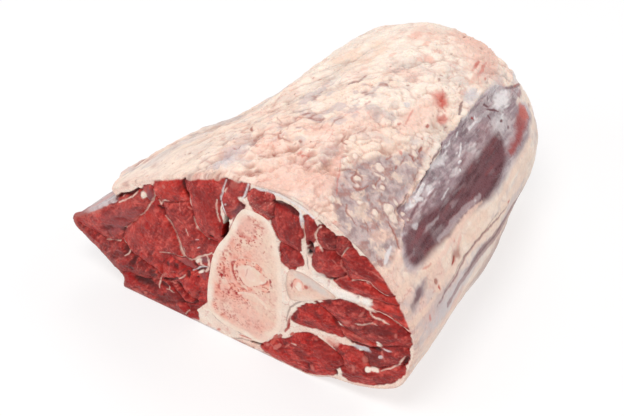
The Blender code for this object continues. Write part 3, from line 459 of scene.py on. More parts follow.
# Marks on the sawn end of the radius: tone, strength, depth, centre x, z, half length, half width, tilt
BONE_SPOTS = (
    ("bone_blood", 1, 0.3, 5, 54, 0.9, 1.5, -10), ("bone_red", 0.9, 0.2, 1.8, 53, 0.7, 3.6, -32),
    ("bone_blood", 0.7, 0.2, 0.8, 48.6, 0.5, 2.4, -4), ("bone_blood", 1, 0.2, 1.6, 45, 0.7, 1.2, 20),
    ("bone_blood", 1, 0.3, -7.2, 40.8, 1.1, 1, 20), ("bone_red", 0.7, 0, -5.6, 44.5, 0.8, 3, -8),
    ("bone_blood", 1, 0.3, -3.4, 31.4, 0.9, 0.7, 30), ("bone_red", 0.8, 0, -2.2, 34.4, 0.4, 2.6, -35),
    ("bone_blood", 1, 0.3, 1.4, 33.4, 0.8, 0.9, 0), ("bone_red", 0.7, 0, -9.2, 32, 0.6, 1.4, -20),
    ("bone_red", 0.6, 0, -10.8, 27.6, 1, 0.5, 40), ("bone_red", 0.8, 0, 8.8, 18.7, 0.6, 0.8, 0),
    ("bone_red", 0.5, 0, 7.4, 15.6, 0.7, 0.8, 0), ("bone_red", 0.6, 0, 14, 21.4, 0.5, 1.4, -30),
    ("bone_red", 0.6, 0, 19.4, 28.4, 0.5, 0.9, 0), ("bone_blood", 0.9, 0.2, 21, 44, 0.5, 1, -25),
    ("bone_blood", 0.9, 0.2, 21.8, 51, 0.7, 1.4, -25), ("bone_red", 0.6, 0, 14, 44.4, 0.6, 1.6, -10),
    ("bone_red", 0.7, 0, 9.2, 42, 0.9, 0.7, 30), ("bone_red", 0.6, 0, 4, 41, 1.6, 0.8, 0),
    ("bone_red", 0.5, 0, 5.4, 38.6, 2.4, 0.6, 15), ("bone_red", 0.5, 0, -6, 24.4, 2.4, 0.8, 25),
    ("bone_red", 0.6, 0, -7.4, 14.8, 0.6, 2.2, -30), ("bone_red", 0.6, 0, -0.4, 17.6, 0.6, 2, -30),
    ("bone_red", 0.7, 0, -1, 57.6, 1.2, 1, -40), ("bone_red", 0.5, 0, -3.4, 58.4, 1.6, 0.9, 30),
    ("bone_blood", 0.8, 0.2, 5.4, 68.4, 0.5, 1, 0), ("bone_red", 0.6, 0, 6, 73, 0.9, 1.6, -20),
    ("bone_blood", 0.7, 0, 13.8, 78.6, 1.2, 0.9, 0), ("bone_red", 0.7, 0, 14.4, 83, 1.8, 0.9, 20),
    ("bone_red", 0.6, 0, 11, 84.6, 1.2, 1.2, 0), ("bone_red", 0.6, 0, 18.4, 83, 1.2, 0.7, 0),
    ("bone_red", 0.6, 0, 18.6, 68, 0.5, 1.2, -20), ("bone_red", 0.5, 0, 22.8, 74, 0.5, 1, 0),
    ("bone_red", 0.5, 0, 14, 57.8, 0.6, 1.2, -20), ("bone_red", 0.4, 0, 18.4, 47.6, 1.8, 0.6, 35),
    ("blush", 0.6, 0, 9, 80, 5, 6, 0), ("blush", 0.5, 0, 4, 22, 13, 8, 0),
    ("blush", 0.6, 0, 12, 12, 12, 3, 0),
    ("peach", 0.8, 0, 12, 34.4, 7, 1.8, 5), ("peach", 0.5, 0, 16, 30, 6, 4, 0),
)
ULNA_SPOTS = (
    ("grey_fat", 0.8, 0, 44, 62, 9, 2.6, -10), ("grey_fat", 0.6, 0, 50, 60.5, 6, 2.4, -20),
    ("bone_blood", 0.8, 0.2, 34.3, 55.6, 0.6, 2.6, -4), ("bone_red", 0.8, 0.1, 42, 57.8, 0.9, 1.5, -30),
    ("ivory", 0.7, 0, 40, 49.5, 5, 2, 25),
)
BONE_LINES = (
    ("bone_rim", 0.75, 0.8, 0, ((3, 34.4), (8, 36.6), (12.6, 37.4), (16.2, 35.8), (19.2, 32.6))),
)
MARROW_SHAPE = ((2.6, 49.6), (6.5, 54.2), (13.7, 55.2), (19.9, 50.8), (14.2, 44.6), (7, 41.6))
MARROW_LINES = (
    ("bone_red", 0.55, 0.25, 0.1, ((7.4, 47.6), (8.2, 50), (8.8, 53))),
    ("bone_red", 0.3, 0.3, 0, ((12, 56), (16, 57.4), (20, 55.6))),
)

# Side: outlines of the silverskin muscle, its dark stripe, the mottled membrane and the bare red strip
SILVER_PATCH = (
    (20, -76), (17.4, -40), (15.8, -20), (13.4, 0), (12.8, 20), (13, 50), (15, 62), (16, 72), (21, 72.5),
    (25.4, 64),
    (27.4, 74), (28, 78), (30, 76), (33, 69), (38.6, 61), (41, 50), (41, 35), (40, 20), (40.2, 0), (40, -6),
    (38, -14), (37, -25), (36, -36), (35, -50), (35.6, -60), (31, -62), (29.6, -70), (27, -74), (24, -78),
)
DARK_STRIPE = (
    (27, -72), (28.6, -64), (27.6, -48), (25.4, -34), (25, -16), (25.8, 2), (25.2, 14), (25.2, 27),
    (24.8, 38),
    (20.6, 37), (16.8, 31), (14.4, 17), (13.2, 1), (13.8, -17), (14.9, -34), (16.4, -52), (18.6, -70),
    (22, -76),
)
MOTTLED_PATCH = (
    (28, -94), (40, -95), (48, -92), (54, -84), (58, -74), (59, -66), (57, -56), (54, -46), (50, -36),
    (46.6, -28),
    (44.6, -17), (42.4, -19), (40, -27), (37.6, -38), (36.6, -55), (32, -62), (29, -72), (27.4, -82),
)
RED_STRIP = (
    (23.6, 65), (21, 69.4), (17.6, 67.6), (16.2, 58.7), (15.2, 46), (14.2, 36), (15.2, 31), (17.2, 34),
    (17.6, 42),
    (18.4, 50.8), (20.5, 58.7),
)
# Spots of the side: tone, strength, height, degrees, y, half width in mm around, half length along y, tilt
# The silver spots at 27 to 36 degrees between y -48 and -3 are painted glints on the silverskin
SIDE_SPOTS = (
    ("silver", 0.9, 0.1, 32, 57, 4.4, 9, 0), ("silver", 0.5, 0, 26, 42, 5, 8, 0),
    ("purple", 0.6, 0, 34, 36, 4, 5, 0),
    ("silver", 0.7, 0.2, 35.5, -16, 2.2, 7, 8), ("silver", 0.6, 0.2, 31.4, -33, 1.2, 3, 0),
    ("silver", 0.7, 0.3, 32, -43.6, 0.8, 3, 14), ("silver", 0.9, 0.5, 28.8, -3, 0.7, 1.6, 0),
    ("silver", 0.9, 0.5, 27, -6.8, 0.6, 0.8, 0), ("silver", 0.6, 0.2, 17.2, -11, 0.5, 1.0, 0),
    ("mauve", 0.7, 0, 24.4, -60, 1.2, 8, 2), ("lilac", 0.5, 0.1, 23.4, -46, 0.6, 7, 2),
    ("silver", 0.5, 0, 27, -57, 1, 2.4, 0), ("silver", 0.6, 0, 33, -48, 1.6, 5, 0),
    ("lilac", 0.6, 0, 38, -54, 1.6, 9, 0),
    ("blood", 0.9, -0.3, 36.6, 26.6, 1, 1, 0), ("silver", 0.9, 0.3, 36.4, 28.6, 1, 0.8, 0),
    ("violet", 0.8, -0.2, 37.4, 46.6, 1.2, 0.8, 20), ("violet", 0.9, -0.2, 26, 44.8, 0.9, 1.2, 0),
    ("violet", 0.8, -0.2, 31.2, 38.8, 1.4, 0.7, 0), ("violet", 0.7, 0, 21.6, 47.4, 0.7, 1.6, 0),
    ("pale_rose", 0.6, 0, 21, 66, 4.4, 4, 0), ("blood", 0.6, 0, 26.4, 73, 1, 4, -10),
    ("purple", 0.6, 0, 26.6, 74, 2, 5, 0),
    ("capillary", 0.8, 0, 53, 17, 4.4, 6, -28), ("capillary", 0.9, 0, 52, 16, 2.2, 3.6, -20),
    ("capillary", 0.6, 0, 46, 7.4, 2.4, 3.4, 20), ("blush", 0.7, 0, 54, 1, 6, 14, 0),
    ("blush", 0.8, 0, 55, -10, 4.6, 8, -20),
    ("membrane", 0.8, 0, 44.4, 36, 3, 6, 0), ("membrane", 0.5, 0, 39.4, 60, 2.6, 12, 0),
    ("membrane", 0.6, 0, 30, 83, 4, 8, 0), ("silver", 0.7, 0, 31, 86, 3, 5, 0),
    ("pink_fat", 0.7, 0, 56, 84, 12, 12, 0), ("pink_fat", 0.6, 0, 50, 66, 10, 14, 0),
    ("pink_fat", 0.7, 0, 72, 84, 14, 11, 0),
    ("blush", 0.7, 0, 62, 76, 18, 14, 0), ("blush", 0.6, 0, 88, 66, 12, 10, 0),
    ("brown", 0.5, 0, 59, 83, 1.6, 2, 0),
    ("capillary", 0.7, 0, 53.4, 60, 1.1, 6, -12), ("capillary", 0.6, 0, 49.4, 62, 1, 9, -6),
    ("pink_fat", 0.6, 0, 48.6, 50, 1.8, 6, 0), ("capillary", 0.6, 0, 45, 56, 0.8, 1, 0),
    ("brown", 0.8, -0.2, 72, 82, 1.2, 1.6, 0), ("brown", 0.7, -0.2, 69, 84.4, 1, 1.2, 0),
    ("pink_fat", 0.7, 0, 92.4, 58.6, 4, 4.6, 30), ("pink_fat", 0.7, 0, 88, 66, 2.6, 2, 0),
    ("pink_fat", 0.6, 0, 92, 36, 2, 3, 0),
    ("pink_fat", 0.7, 0, 74, 44, 4.6, 1.8, 0), ("pink_fat", 0.6, 0, 77, 40, 2, 2, 0),
    ("pink_fat", 0.6, 0, 82.4, 55, 1.8, 3.6, 0),
    ("pink_fat", 0.6, 0, 74, 51.6, 4, 1.8, -30), ("pink_fat", 0.5, 0, 97, 17, 2.4, 2.4, 0),
    ("peach", 0.8, 0, 108, 44, 5, 5, 0), ("peach", 0.8, 0, 101, 38, 4, 6, 0),
    ("peach", 0.8, 0, 121, 34.4, 4, 6, 30),
    ("peach", 0.8, 0, 125, 27, 5, 4, 0), ("peach", 0.7, 0, 103, 26, 6, 4, 0),
    ("peach", 0.7, 0, 115, 33, 4, 4, 0),
    ("capillary", 0.5, 0, 141, 15, 1.2, 7, 30), ("brown", 0.6, 0, 82, 2, 0.8, 0.8, 0),
    ("brown", 0.6, 0, 76, 5, 0.8, 0.8, 0),
    ("brown", 0.5, 0, 124, 5, 0.8, 0.8, 0), ("brown", 0.5, 0, 92, 10, 0.8, 0.8, 0),
    ("brown", 0.7, 0, 61, 33.6, 0.8, 1, 0),
    ("brown", 0.6, 0, 60, 30, 0.7, 0.8, 0), ("membrane", 0.7, 0, 61.6, -1, 1.6, 1.8, 0),
    ("brown", 0.6, 0, 71, 41, 0.8, 0.8, 0),
    ("blood", 0.5, -0.3, 75, -14.4, 0.8, 2.6, 0), ("grey_film_and_shade", 0.6, 0, 70, -17.4, 5.4, 4.4, 0),
    ("grey_film_and_shade", 0.5, 0, 63, -15.4, 3.4, 3, 0), ("brown", 0.5, 0, 106, -35, 1.2, 1.2, 0),
    ("blush", 0.6, 0, 107, -3.4, 1.4, 1.4, 0),
    ("brown", 0.8, -0.3, 119.4, -50.6, 0.8, 3.4, -40), ("lilac", 0.7, 0, 111, -74, 8, 10, 10),
    ("membrane", 0.6, 0, 110, -84, 11, 5, 0), ("brown", 0.7, 0, 112.6, -71, 3, 0.8, 10),
    ("brown", 0.7, 0, 108.6, -72.6, 1.2, 1, 0),
    ("brown", 0.6, 0, 109, -61, 1, 1, 0), ("brown", 0.7, 0, 85, -56, 0.7, 0.7, 0),
    ("brown", 0.7, 0, 81, -54.4, 0.7, 0.7, 0),
    ("pink_fat", 0.6, 0, 64.6, -59, 2, 10, -20), ("capillary", 0.6, 0, 62.6, -55, 0.7, 0.9, 0),
    ("capillary", 0.6, 0, 63, -58.4, 0.6, 0.8, 0), ("grey_film_and_shade", 0.5, 0, 69, -59, 3.6, 7, 0),
    ("blush", 0.8, 0, 72, -84, 16, 12, 0), ("pink_fat", 0.5, 0, 62, -78, 6, 10, 0),
    ("brown", 0.5, 0, 90.6, -89.4, 5, 2.4, 0),
    ("purple", 0.9, -0.2, 13, -82, 1.7, 9, -8), ("violet", 0.7, 0, 13, -83, 0.9, 5, -8),
    ("lilac", 0.6, 0, 4, -64, 4, 24, 0),
    ("membrane", 0.7, 0, 1, -50, 4, 34, 0), ("blood", 1, -0.5, 9.8, -48.4, 0.9, 2.2, -6),
    ("brown", 0.7, 0, 10.6, -44, 2, 5, 0),
    ("capillary", 0.9, -0.3, 8.9, -66, 1.2, 1, 0), ("brown", 0.8, -0.2, 11, -66.2, 1.2, 1.3, 0),
    ("capillary", 0.7, 0, 14.8, -41.4, 0.9, 1.2, 20), ("pink_fat", 0.7, 0, 12.4, -37, 1.2, 4, -20),
    ("capillary", 0.8, 0, 4, 15.6, 0.6, 1.8, 24), ("capillary", 0.8, 0, -23, 52, 0.6, 1.8, 24),
    ("capillary", 0.6, 0, 4.4, -80, 0.9, 0.9, 0),
    ("peach", 0.7, 0, 15, -30, 1.8, 16, 2), ("purple", 0.6, 0, 2.6, -28, 1.4, 14, 3),
    ("violet", 0.5, 0, 3, -30, 0.7, 9, 3),
    ("lilac", 0.7, 0, 0, 16, 3, 22, 0), ("purple", 0.5, 0, -8, 40, 7, 12, 0),
    ("purple", 0.45, 0, -12, 4, 8, 34, -4), ("mauve", 0.35, 0, -7, -8, 4, 26, -4),
    ("lilac", 0.5, 0, -24, -20, 12, 40, 0), ("lilac", 0.6, 0, 10, 84, 5, 10, -16),
    ("violet", 0.6, 0, 19.6, 88, 1, 5, -18), ("blood", 0.5, 0, 19.6, 88.4, 0.7, 4, -18),
    ("brown", 0.5, 0, 18, 77, 1.8, 2.4, 0),
    ("blood", 0.7, 0, 49, -4, 0.8, 0.9, 0), ("capillary", 0.6, 0, 57.6, -15.6, 0.6, 2, 24),
    ("capillary", 0.6, 0, 49, -32.4, 0.9, 0.7, 0),
)
# Lines of the side: tone, strength, half width, height, path
SIDE_LINES = (
    ("violet", 0.9, 0.45, -0.3, ((40, -5), (39, -8), (37.2, -9.6))),
    ("mauve", 0.6, 1.7, -0.3, ((-14, 66), (-8, 46), (-4, 28), (-1.5, 12), (0.5, -6), (1.4, -22), (1.6, -40),
        (1, -62))),
    ("plum", 0.5, 0.5, -0.3, ((-9, 50), (-3, 22), (0, 4), (1.6, -20), (2, -42))),
    ("mauve", 0.7, 0.4, -0.3, ((3, 16), (5.5, -9), (7, -36), (5.8, -50), (5, -70))),
    ("violet", 0.8, 0.35, -0.2, ((39.4, -9), (38.6, -18), (37, -25), (35.6, -33), (34.4, -41))),
    ("violet", 0.7, 0.4, -0.2, ((36.6, -48), (35.8, -54), (35.6, -60))),
    ("silver", 0.9, 0.4, 0.3, ((33.4, 7.4), (32, 4), (30.8, 1), (30.6, -1))),
    ("silver", 0.8, 0.5, 0.2, ((37.6, 10), (36.6, 7))),
    ("silver", 0.7, 0.3, 0.1, ((26.4, -22), (26, -28), (25.8, -31))),
    ("violet", 0.7, 0.5, 0, ((31, -46), (30.4, -54), (29.8, -60))),
    ("violet", 0.9, 0.7, -0.2, ((37, 41.4), (34.6, 44.4))), ("violet", 0.95, 0.6, -0.2,
        ((34, 42), (31.6, 46), (29.6, 48))),
    ("purple", 0.6, 0.5, 0, ((36, 38), (35, 41), (33.6, 44))),
    ("violet", 0.6, 0.9, -0.1, ((34, 66), (31, 73), (29, 78), (27, 84), (24, 92))),
    ("capillary", 0.5, 0.5, 0, ((31, 74), (28.4, 81), (26, 86))),
    ("violet", 0.7, 0.7, -0.3, ((45.4, 28.4), (43.6, 22), (42, 18.4))),
    ("brown", 0.9, 0.6, -0.4, ((44.2, -18), (44, -22))), ("brown", 0.8, 0.6, -0.4,
        ((46, -29), (44.6, -28.2), (43, -29.8))),
    ("brown", 0.5, 0.3, -0.2, ((43.6, -21), (43, -25), (42.8, -29))),
    ("brown", 0.6, 0.4, -0.2, ((46.6, -32), (46, -35), (45.4, -38))),
    ("brown", 0.8, 0.5, -0.3, ((46.4, -40.6), (45.6, -42.6))),
    ("brown", 0.7, 0.4, -0.3, ((50.6, -37), (50.8, -41))),
    ("brown", 0.7, 0.4, -0.3, ((47.6, -53), (47, -58), (46, -62))),
    ("brown", 0.8, 0.5, -0.3, ((48.6, -63), (48.8, -67), (50.4, -69.4), (52, -69))),
    ("brown", 0.7, 0.4, -0.3, ((56, -58), (54.6, -62), (54.8, -65.4), (52, -66.6))),
    ("brown", 0.6, 0.4, -0.2, ((57, -60), (60, -66))),
    ("brown", 0.8, 0.4, -0.3, ((35.4, -70), (33, -72), (30, -74), (27.4, -77.4))),
    ("brown", 0.7, 0.4, -0.3, ((49.4, -80), (47.8, -83.6), (46, -84.6), (42.4, -86))),
    ("brown", 0.6, 0.3, -0.2, ((41.6, -80), (39, -82), (37.4, -86))),
    ("silver", 0.8, 0.8, 0.1, ((29.6, -80), (28.8, -86), (28, -90))),
    ("brown", 0.7, 0.35, 0, ((43.4, -61), (42.6, -62.4))), ("brown", 0.7, 0.35, -0.2,
        ((30.4, -62.6), (30.4, -64))),
    ("shadow", 0.45, 0.3, -0.15, ((6.2, 2), (6.6, -10), (6, -14), (6.8, -24), (7.4, -40), (6.6, -52),
        (6, -62), (5, -72))),
    ("lilac", 0.5, 0.9, 0, ((16.6, -6), (17, -16), (17.8, -30), (18.4, -50))),
    ("blush", 0.6, 0.9, 0.1, ((14.8, -8), (15.4, -20), (15.6, -34), (15, -50), (14.6, -60))),
    ("capillary", 0.5, 0.35, 0, ((16.4, -64), (17.4, -72))),
    ("brown", 0.6, 0.5, -0.2, ((78, -30), (80, -34), (79, -39))),
    ("brown", 0.5, 0.5, -0.2, ((100, -38), (94, -36.6), (88, -34))),
    ("brown", 0.5, 0.4, -0.2, ((97, -34), (93, -31), (89, -30))),
    ("brown", 0.6, 0.45, -0.2, ((100, -51), (98, -56), (95, -58.6), (90, -58))),
    ("brown", 0.6, 0.4, -0.2, ((86, -63), (87, -66))),
    ("brown", 0.5, 0.4, -0.2, ((100, -44), (98, -48))), ("brown", 0.5, 0.4, -0.2, ((110, -42), (104, -45))),
    ("brown", 0.5, 0.4, -0.2, ((83, -40), (82, -44))), ("brown", 0.7, 0.5, -0.3,
        ((70.4, -42), (69.6, -46), (67.6, -49), (65.6, -49.4))),
    ("brown", 0.5, 0.5, -0.2, ((66, -31), (66.4, -38))), ("capillary", 0.4, 0.4, 0,
        ((55.6, 25), (53, 20), (50, 14), (47, 12))),
    ("capillary", 0.5, 0.35, 0, ((58, -2), (56.6, -8), (55.6, -13))),
    ("capillary", 0.5, 0.3, 0, ((63, -60), (60, -66), (56, -76), (54, -80))),
)
# Raised fat granules in the mottled membrane and beside it: degrees, y, radius, height
GRANULE_SHARE = 0.8
GRANULES = (
    (50.4, -49, 2.8, 0.7), (53, -63.6, 1.9, 0.7), (46.6, -61, 1.5, 0.6), (38, -65, 3.2, 0.5),
    (34.6, -66, 2.4, 0.4),
    (44.6, -26, 1.8, 0.6), (44, -14.6, 1.4, 0.4), (44, -10.8, 1.3, 0.4), (49, -53.6, 1.6, 0.5),
    (46.8, -52.6, 1.4, 0.5),
    (66, -43, 2.2, 0.6), (51, -66.6, 1.6, 0.4), (37.6, -58, 1.6, 0.4), (33.4, -47, 1.2, 0.3),
    (44.6, -57, 1.2, 0.3),
    (54, -84, 2.4, 0.4), (40, -72.6, 2.4, 0.3), (46, -74, 1.6, 0.2), (60, -53, 2.0, 0.4),
    (38.4, -31, 1.4, 0.3),
    (46.6, -22.4, 1.4, 0.4), (48.6, -12.6, 1.6, 0.4), (33, -58, 1.1, 0.3), (29.8, -58.6, 0.9, 0.3),
)

# Where the sawn end of the radius is speckled red: centre x, z, half width, half height, strength
BONE_SPECKLE = (
    (9, 78, 9, 10, 1.0), (1, 68, 7, 9, 0.5), (-6, 44, 4, 14, 0.8), (1, 31, 11, 9, 0.7), (6, 16, 14, 6, 0.7),
    (20, 30, 6, 14, 0.3), (-8, 20, 6, 8, 0.6), (2, 50, 3, 8, 0.8),
)

# The way the wrinkles of the fat run on top
WRINKLES = np.array((0.52, 0.854, 0.0))

# Camera, floor and light
CAMERA_AZIMUTH = 33.5
CAMERA_ELEVATION = 40.0
CAMERA_DISTANCE = 800.0
CAMERA_TARGET = (1.0, -27.5, 40.0)
CAMERA_LENS = 90.5
FLOOR_HALF = 3000.0
WORLD_LIGHT = 0.43
FLOOR_GLOW = 0.62
LIGHTS = (
    # name, azimuth, elevation, distance, size, power in watts
    ("key", 15, 66, 1300, 560, 8.2),
    ("front", -50, 26, 1500, 700, 4.4),
    ("right", 120, 45, 1500, 600, 3.8),
    ("back", -150, 48, 1500, 700, 3.6),
)


def colour(tone):
    """A tone as linear red, green and blue, less the haze of light that a moist surface throws back."""
    c = np.array(TONES[tone]) / 255
    linear = np.where(c <= 0.04045, c / 12.92, ((c + 0.055) / 1.055) ** 2.4)
    return np.maximum(linear * ALBEDO - HAZE, 0.002)


def smooth(x):
    x = np.clip(x, 0, 1)
    return x * x * (3 - 2 * x)


def step(x, low, high):
    """Rises smoothly from 0 at low to 1 at high."""
    return smooth((x - low) / (high - low))


def scatter(cells, seed):
    """An even pseudo-random number from 0 to 1 for each whole-numbered cell."""
    h = np.full(cells.shape[:-1], (seed * 974711 + 12345) % 2**32, np.uint32)
    for k, prime in enumerate((374761393, 668265263, 2246822519)[:cells.shape[-1]]):
        h = (h ^ (cells[..., k].astype(np.int64).astype(np.uint32)
                  * np.uint32(prime))) * np.uint32(2654435761)
        h ^= h >> np.uint32(15)
    h = (h ^ (h >> np.uint32(13))) * np.uint32(1274126177)
    return (h ^ (h >> np.uint32(16))).astype(np.float64) / 2**32


def noise(points, size, seed):
    """Smooth noise from -1 to 1, with features of the given size, a number or one for each axis."""
    p = points / np.asarray(size, float)
    cell = np.floor(p)
    f = smooth(p - cell)
    total = np.zeros(len(p))
    for corner in range(2 ** p.shape[1]):
        bits = np.array([(corner >> k) & 1 for k in range(p.shape[1])])
        total += np.prod(np.where(bits, f, 1 - f), axis=1) * scatter(cell + bits, seed)
    return total * 2 - 1


def rough(points, size, seed, octaves=3, fall=0.5):
    """Noise summed over octaves, each half the size of the last."""
    size = np.asarray(size, float)
    total = sum(fall**k * noise(points + 13.7 * k, size / 2**k, seed + 17 * k) for k in range(octaves))
    return total / sum(fall**k for k in range(octaves))


def cells(points, size, seed):
    """Distance to the nearest of scattered seeds, the lead over the next, in cell sizes, and its number."""
    p = points / np.asarray(size, float)
    home = np.floor(p)
    first, second, which = np.full(len(p), 9.0), np.full(len(p), 9.0), np.zeros(len(p))
    for around in np.ndindex(*(3,) * p.shape[1]):
        cell = home + np.array(around) - 1
        seat = cell + np.stack([scatter(cell, seed + 31 * k) for k in range(p.shape[1])], axis=1)
        away = np.sqrt(np.sum((p - seat) ** 2, axis=1))
        nearer = away < first
        second = np.where(nearer, first, np.minimum(second, away))
        which = np.where(nearer, scatter(cell, seed + 97), which)
        first = np.minimum(first, away)
    return first, second - first, which


def closed_curve(points, steps=12):
    """A smooth closed curve through the points."""
    p = np.array(points, float)
    p0, p1, p2, p3 = (np.roll(p, shift, 0)[:, None, :] for shift in (1, 0, -1, -2))
    u = (np.arange(steps) / steps)[None, :, None]
    curve = 0.5 * (2 * p1 + (p2 - p0) * u + (2 * p0 - 5 * p1 + 4 * p2 - p3) * u**2
                   + (3 * p1 - p0 - 3 * p2 + p3) * u**3)
    return curve.reshape(-1, 2)


def oval(x, z, half_width, half_height, count=64):
    turn = np.arange(count) * 2 * math.pi / count
    return np.stack([x + half_width * np.cos(turn), z + half_height * np.sin(turn)], axis=1)


def segment(points, start, end):
    """Distance from each point to a straight line between two points, and the share of the way along it."""
    start, end = np.array(start, float), np.array(end, float)
    along = end - start
    u = np.clip((points - start) @ along / max(along @ along, 1e-9), 0, 1)
    return np.hypot(*(points - start - u[:, None] * along).T), u


def path_distance(points, path):
    """Distance from each point to a line through the path's points, and the share of the way along it."""
    best, share = np.full(len(points), 1e9), np.zeros(len(points))
    for k, (start, end) in enumerate(zip(path, path[1:])):
        away, u = segment(points, start, end)
        share = np.where(away < best, (k + u) / (len(path) - 1), share)
        best = np.minimum(best, away)
    return best, share


def depth_inside(points, loop, reach=8.0):
    """Distance to a closed loop, positive inside it and negative outside, no further out than the reach."""
    near = np.all((points > loop.min(0) - reach) & (points < loop.max(0) + reach), axis=1)
    result = np.full(len(points), -reach)
    p = points[near]
    away = path_distance(p, np.vstack([loop, loop[:1]]))[0]
    odd = np.zeros(len(p), bool)
    for (ax, az), (bx, bz) in zip(loop, np.roll(loop, -1, 0)):
        if az != bz:
            odd ^= ((az > p[:, 1]) != (bz > p[:, 1])) & (p[:, 0] < ax + (p[:, 1] - az) * (bx - ax)
                                                         / (bz - az))
    result[near] = np.maximum(np.where(odd, away, -away), -reach)
    return result


def lay(under, over, share):
    """Colours, or a tone by its name, with another laid over them by a share from 0 to 1 at each point."""
    under = colour(under) if isinstance(under, str) else under
    over = colour(over) if isinstance(over, str) else over
    share = np.clip(share, 0, 1)[:, None]
    return under * (1 - share) + over * share


OUTLINE = closed_curve(FRONT_OUTLINE, 24)
STRAIGHT_RUN = LENGTH * (1 - END_ROUND_SHARE)
ROUND_RUN = 56.0
WHOLE_RUN = STRAIGHT_RUN + ROUND_RUN


def front_radius(angle):
    """Distance from the centre to the front outline."""
    away = OUTLINE - FRONT_CENTRE
    return np.interp(angle, np.arctan2(away[:, 1], away[:, 0]), np.hypot(*away.T), period=2 * math.pi)


def far_radius(angle):
    """Distance from the centre to the far outline, a rounded box."""
    c, s = np.cos(angle), np.sin(angle)
    half_width = np.where(c > 0, FAR_HALF_WIDTH_RIGHT, FAR_HALF_WIDTH_LEFT)
    half_height = np.where(s > 0, FAR_HALF_HEIGHT_UP, FAR_HALF_HEIGHT_DOWN)
    n = FAR_ROUNDNESS
    return ((np.abs(c) / half_width) ** n + (np.abs(s) / half_height) ** n) ** (-1 / n)


def to_far(points):
    """Points of the front pattern in the far cut."""
    return FAR_CENTRE + (points - FRONT_CENTRE) * INSIDE_TAPER


def to_front(points):
    """Points of the far cut in the front pattern."""
    return FRONT_CENTRE + (points - FAR_CENTRE) / INSIDE_TAPER


def lumps(angle, t):
    """Height of the fat cover's lumps at an angle about the centre and a share t of the length."""
    rng = np.random.default_rng(LUMP_SEED)
    arc, run = angle * LUMP_ARC_RADIUS, t * LENGTH
    turn = 2 * math.pi * LUMP_ARC_RADIUS
    height = np.zeros(np.shape(angle))
    for _ in range(LUMP_COUNT):
        at_arc, at_run = rng.uniform(0, turn), rng.uniform(0, LENGTH)
        width, size = rng.uniform(*LUMP_WIDTHS), rng.uniform(-0.6, 1.0) * LUMP_HEIGHT
        across = (arc - at_arc + turn / 2) % turn - turn / 2
        along = (run - at_run) / LUMP_STRETCH
        height += size * np.exp(-(across**2 + along**2) / width**2)
    for degrees, at_run, width, size in LARGE_LUMPS:
        across = ((angle - math.radians(degrees) + math.pi) % (2 * math.pi) - math.pi) * LUMP_ARC_RADIUS
        height += size * np.exp(-(across**2 + (run - at_run) ** 2) / width**2)
    return height


def pad(angle, t):
    """Height of the fat pad on the upper left."""
    degrees, run = np.degrees(angle) % 360, t * LENGTH
    share = smooth((PAD_EDGE_DEGREES + PAD_EDGE_CLIMB * run - degrees) / PAD_EDGE_SLOPE + 0.5)
    share = share * smooth((degrees - PAD_TOP_DEGREES) / PAD_TOP_SLOPE)
    share = share * smooth((PAD_UNDER_DEGREES - degrees) / PAD_UNDER_SLOPE)
    end = PAD_END + PAD_END_CLIMB * (degrees - PAD_END_DEGREES)
    return PAD_THICKNESS * share * smooth((end - run) / PAD_END_SLOPE)


def bare(angle, t):
    """1 on the silverskin muscle that the fat cover leaves bare, 0 elsewhere."""
    degrees, run = np.degrees(angle), t * LENGTH
    across = np.minimum(degrees - BARE_FROM_DEGREES, BARE_TO_DEGREES - degrees) / BARE_SIDE_SLOPE
    along = np.minimum(run - BARE_START, BARE_END - run) / BARE_END_SLOPE
    return smooth(across) * smooth(along)


def side_base(angle, run):
    """Points of the body's side at angles about the centre and runs along it, rounded at the far end."""
    turn = np.clip((run - STRAIGHT_RUN) / ROUND_RUN, 0, 1) * math.pi / 2
    t = np.where(run < STRAIGHT_RUN, run / LENGTH, 1 - END_ROUND_SHARE * (1 - np.sin(turn)))
    w = np.maximum(t, 0) ** TAPER_POWER
    centre = FRONT_CENTRE + (FAR_CENTRE - FRONT_CENTRE) * w[:, None]
    radius = (1 - w) * front_radius(angle) + w * far_radius(angle)
    radius *= (1 - WAIST * np.sin(math.pi * t)) * (END_CUT_SCALE + (1 - END_CUT_SCALE) * np.cos(turn))
    relief = lumps(angle, t) * (1 - bare(angle, t)) - BARE_DEPTH * bare(angle, t)
    relief *= smooth((centre[:, 1] + radius * np.sin(angle)) / SAG_HEIGHT)
    radius += relief * smooth(t / CALM_ENDS) * smooth((1 - t) / CALM_ENDS) + pad(angle, t)
    x, z = centre.T + radius * np.stack([np.cos(angle), np.sin(angle)])
    z = np.maximum(z - SAG * smooth(1 - z / SAG_HEIGHT), 0)
    return np.stack([x, (t - 0.5) * LENGTH, z], axis=1)


def side_normal(angle, run):
    around = side_base(angle + 0.012, run) - side_base(angle - 0.012, run)
    along = side_base(angle, run + 0.8) - side_base(angle, run - 0.8)
    normal = np.cross(along, around)
    normal /= np.maximum(np.linalg.norm(normal, axis=1), 1e-9)[:, None]
    outward = np.stack([np.cos(angle), np.zeros(len(angle)), np.sin(angle)], axis=1)
    return normal * np.where(np.sum(normal * outward, axis=1) < -0.2, -1, 1)[:, None]


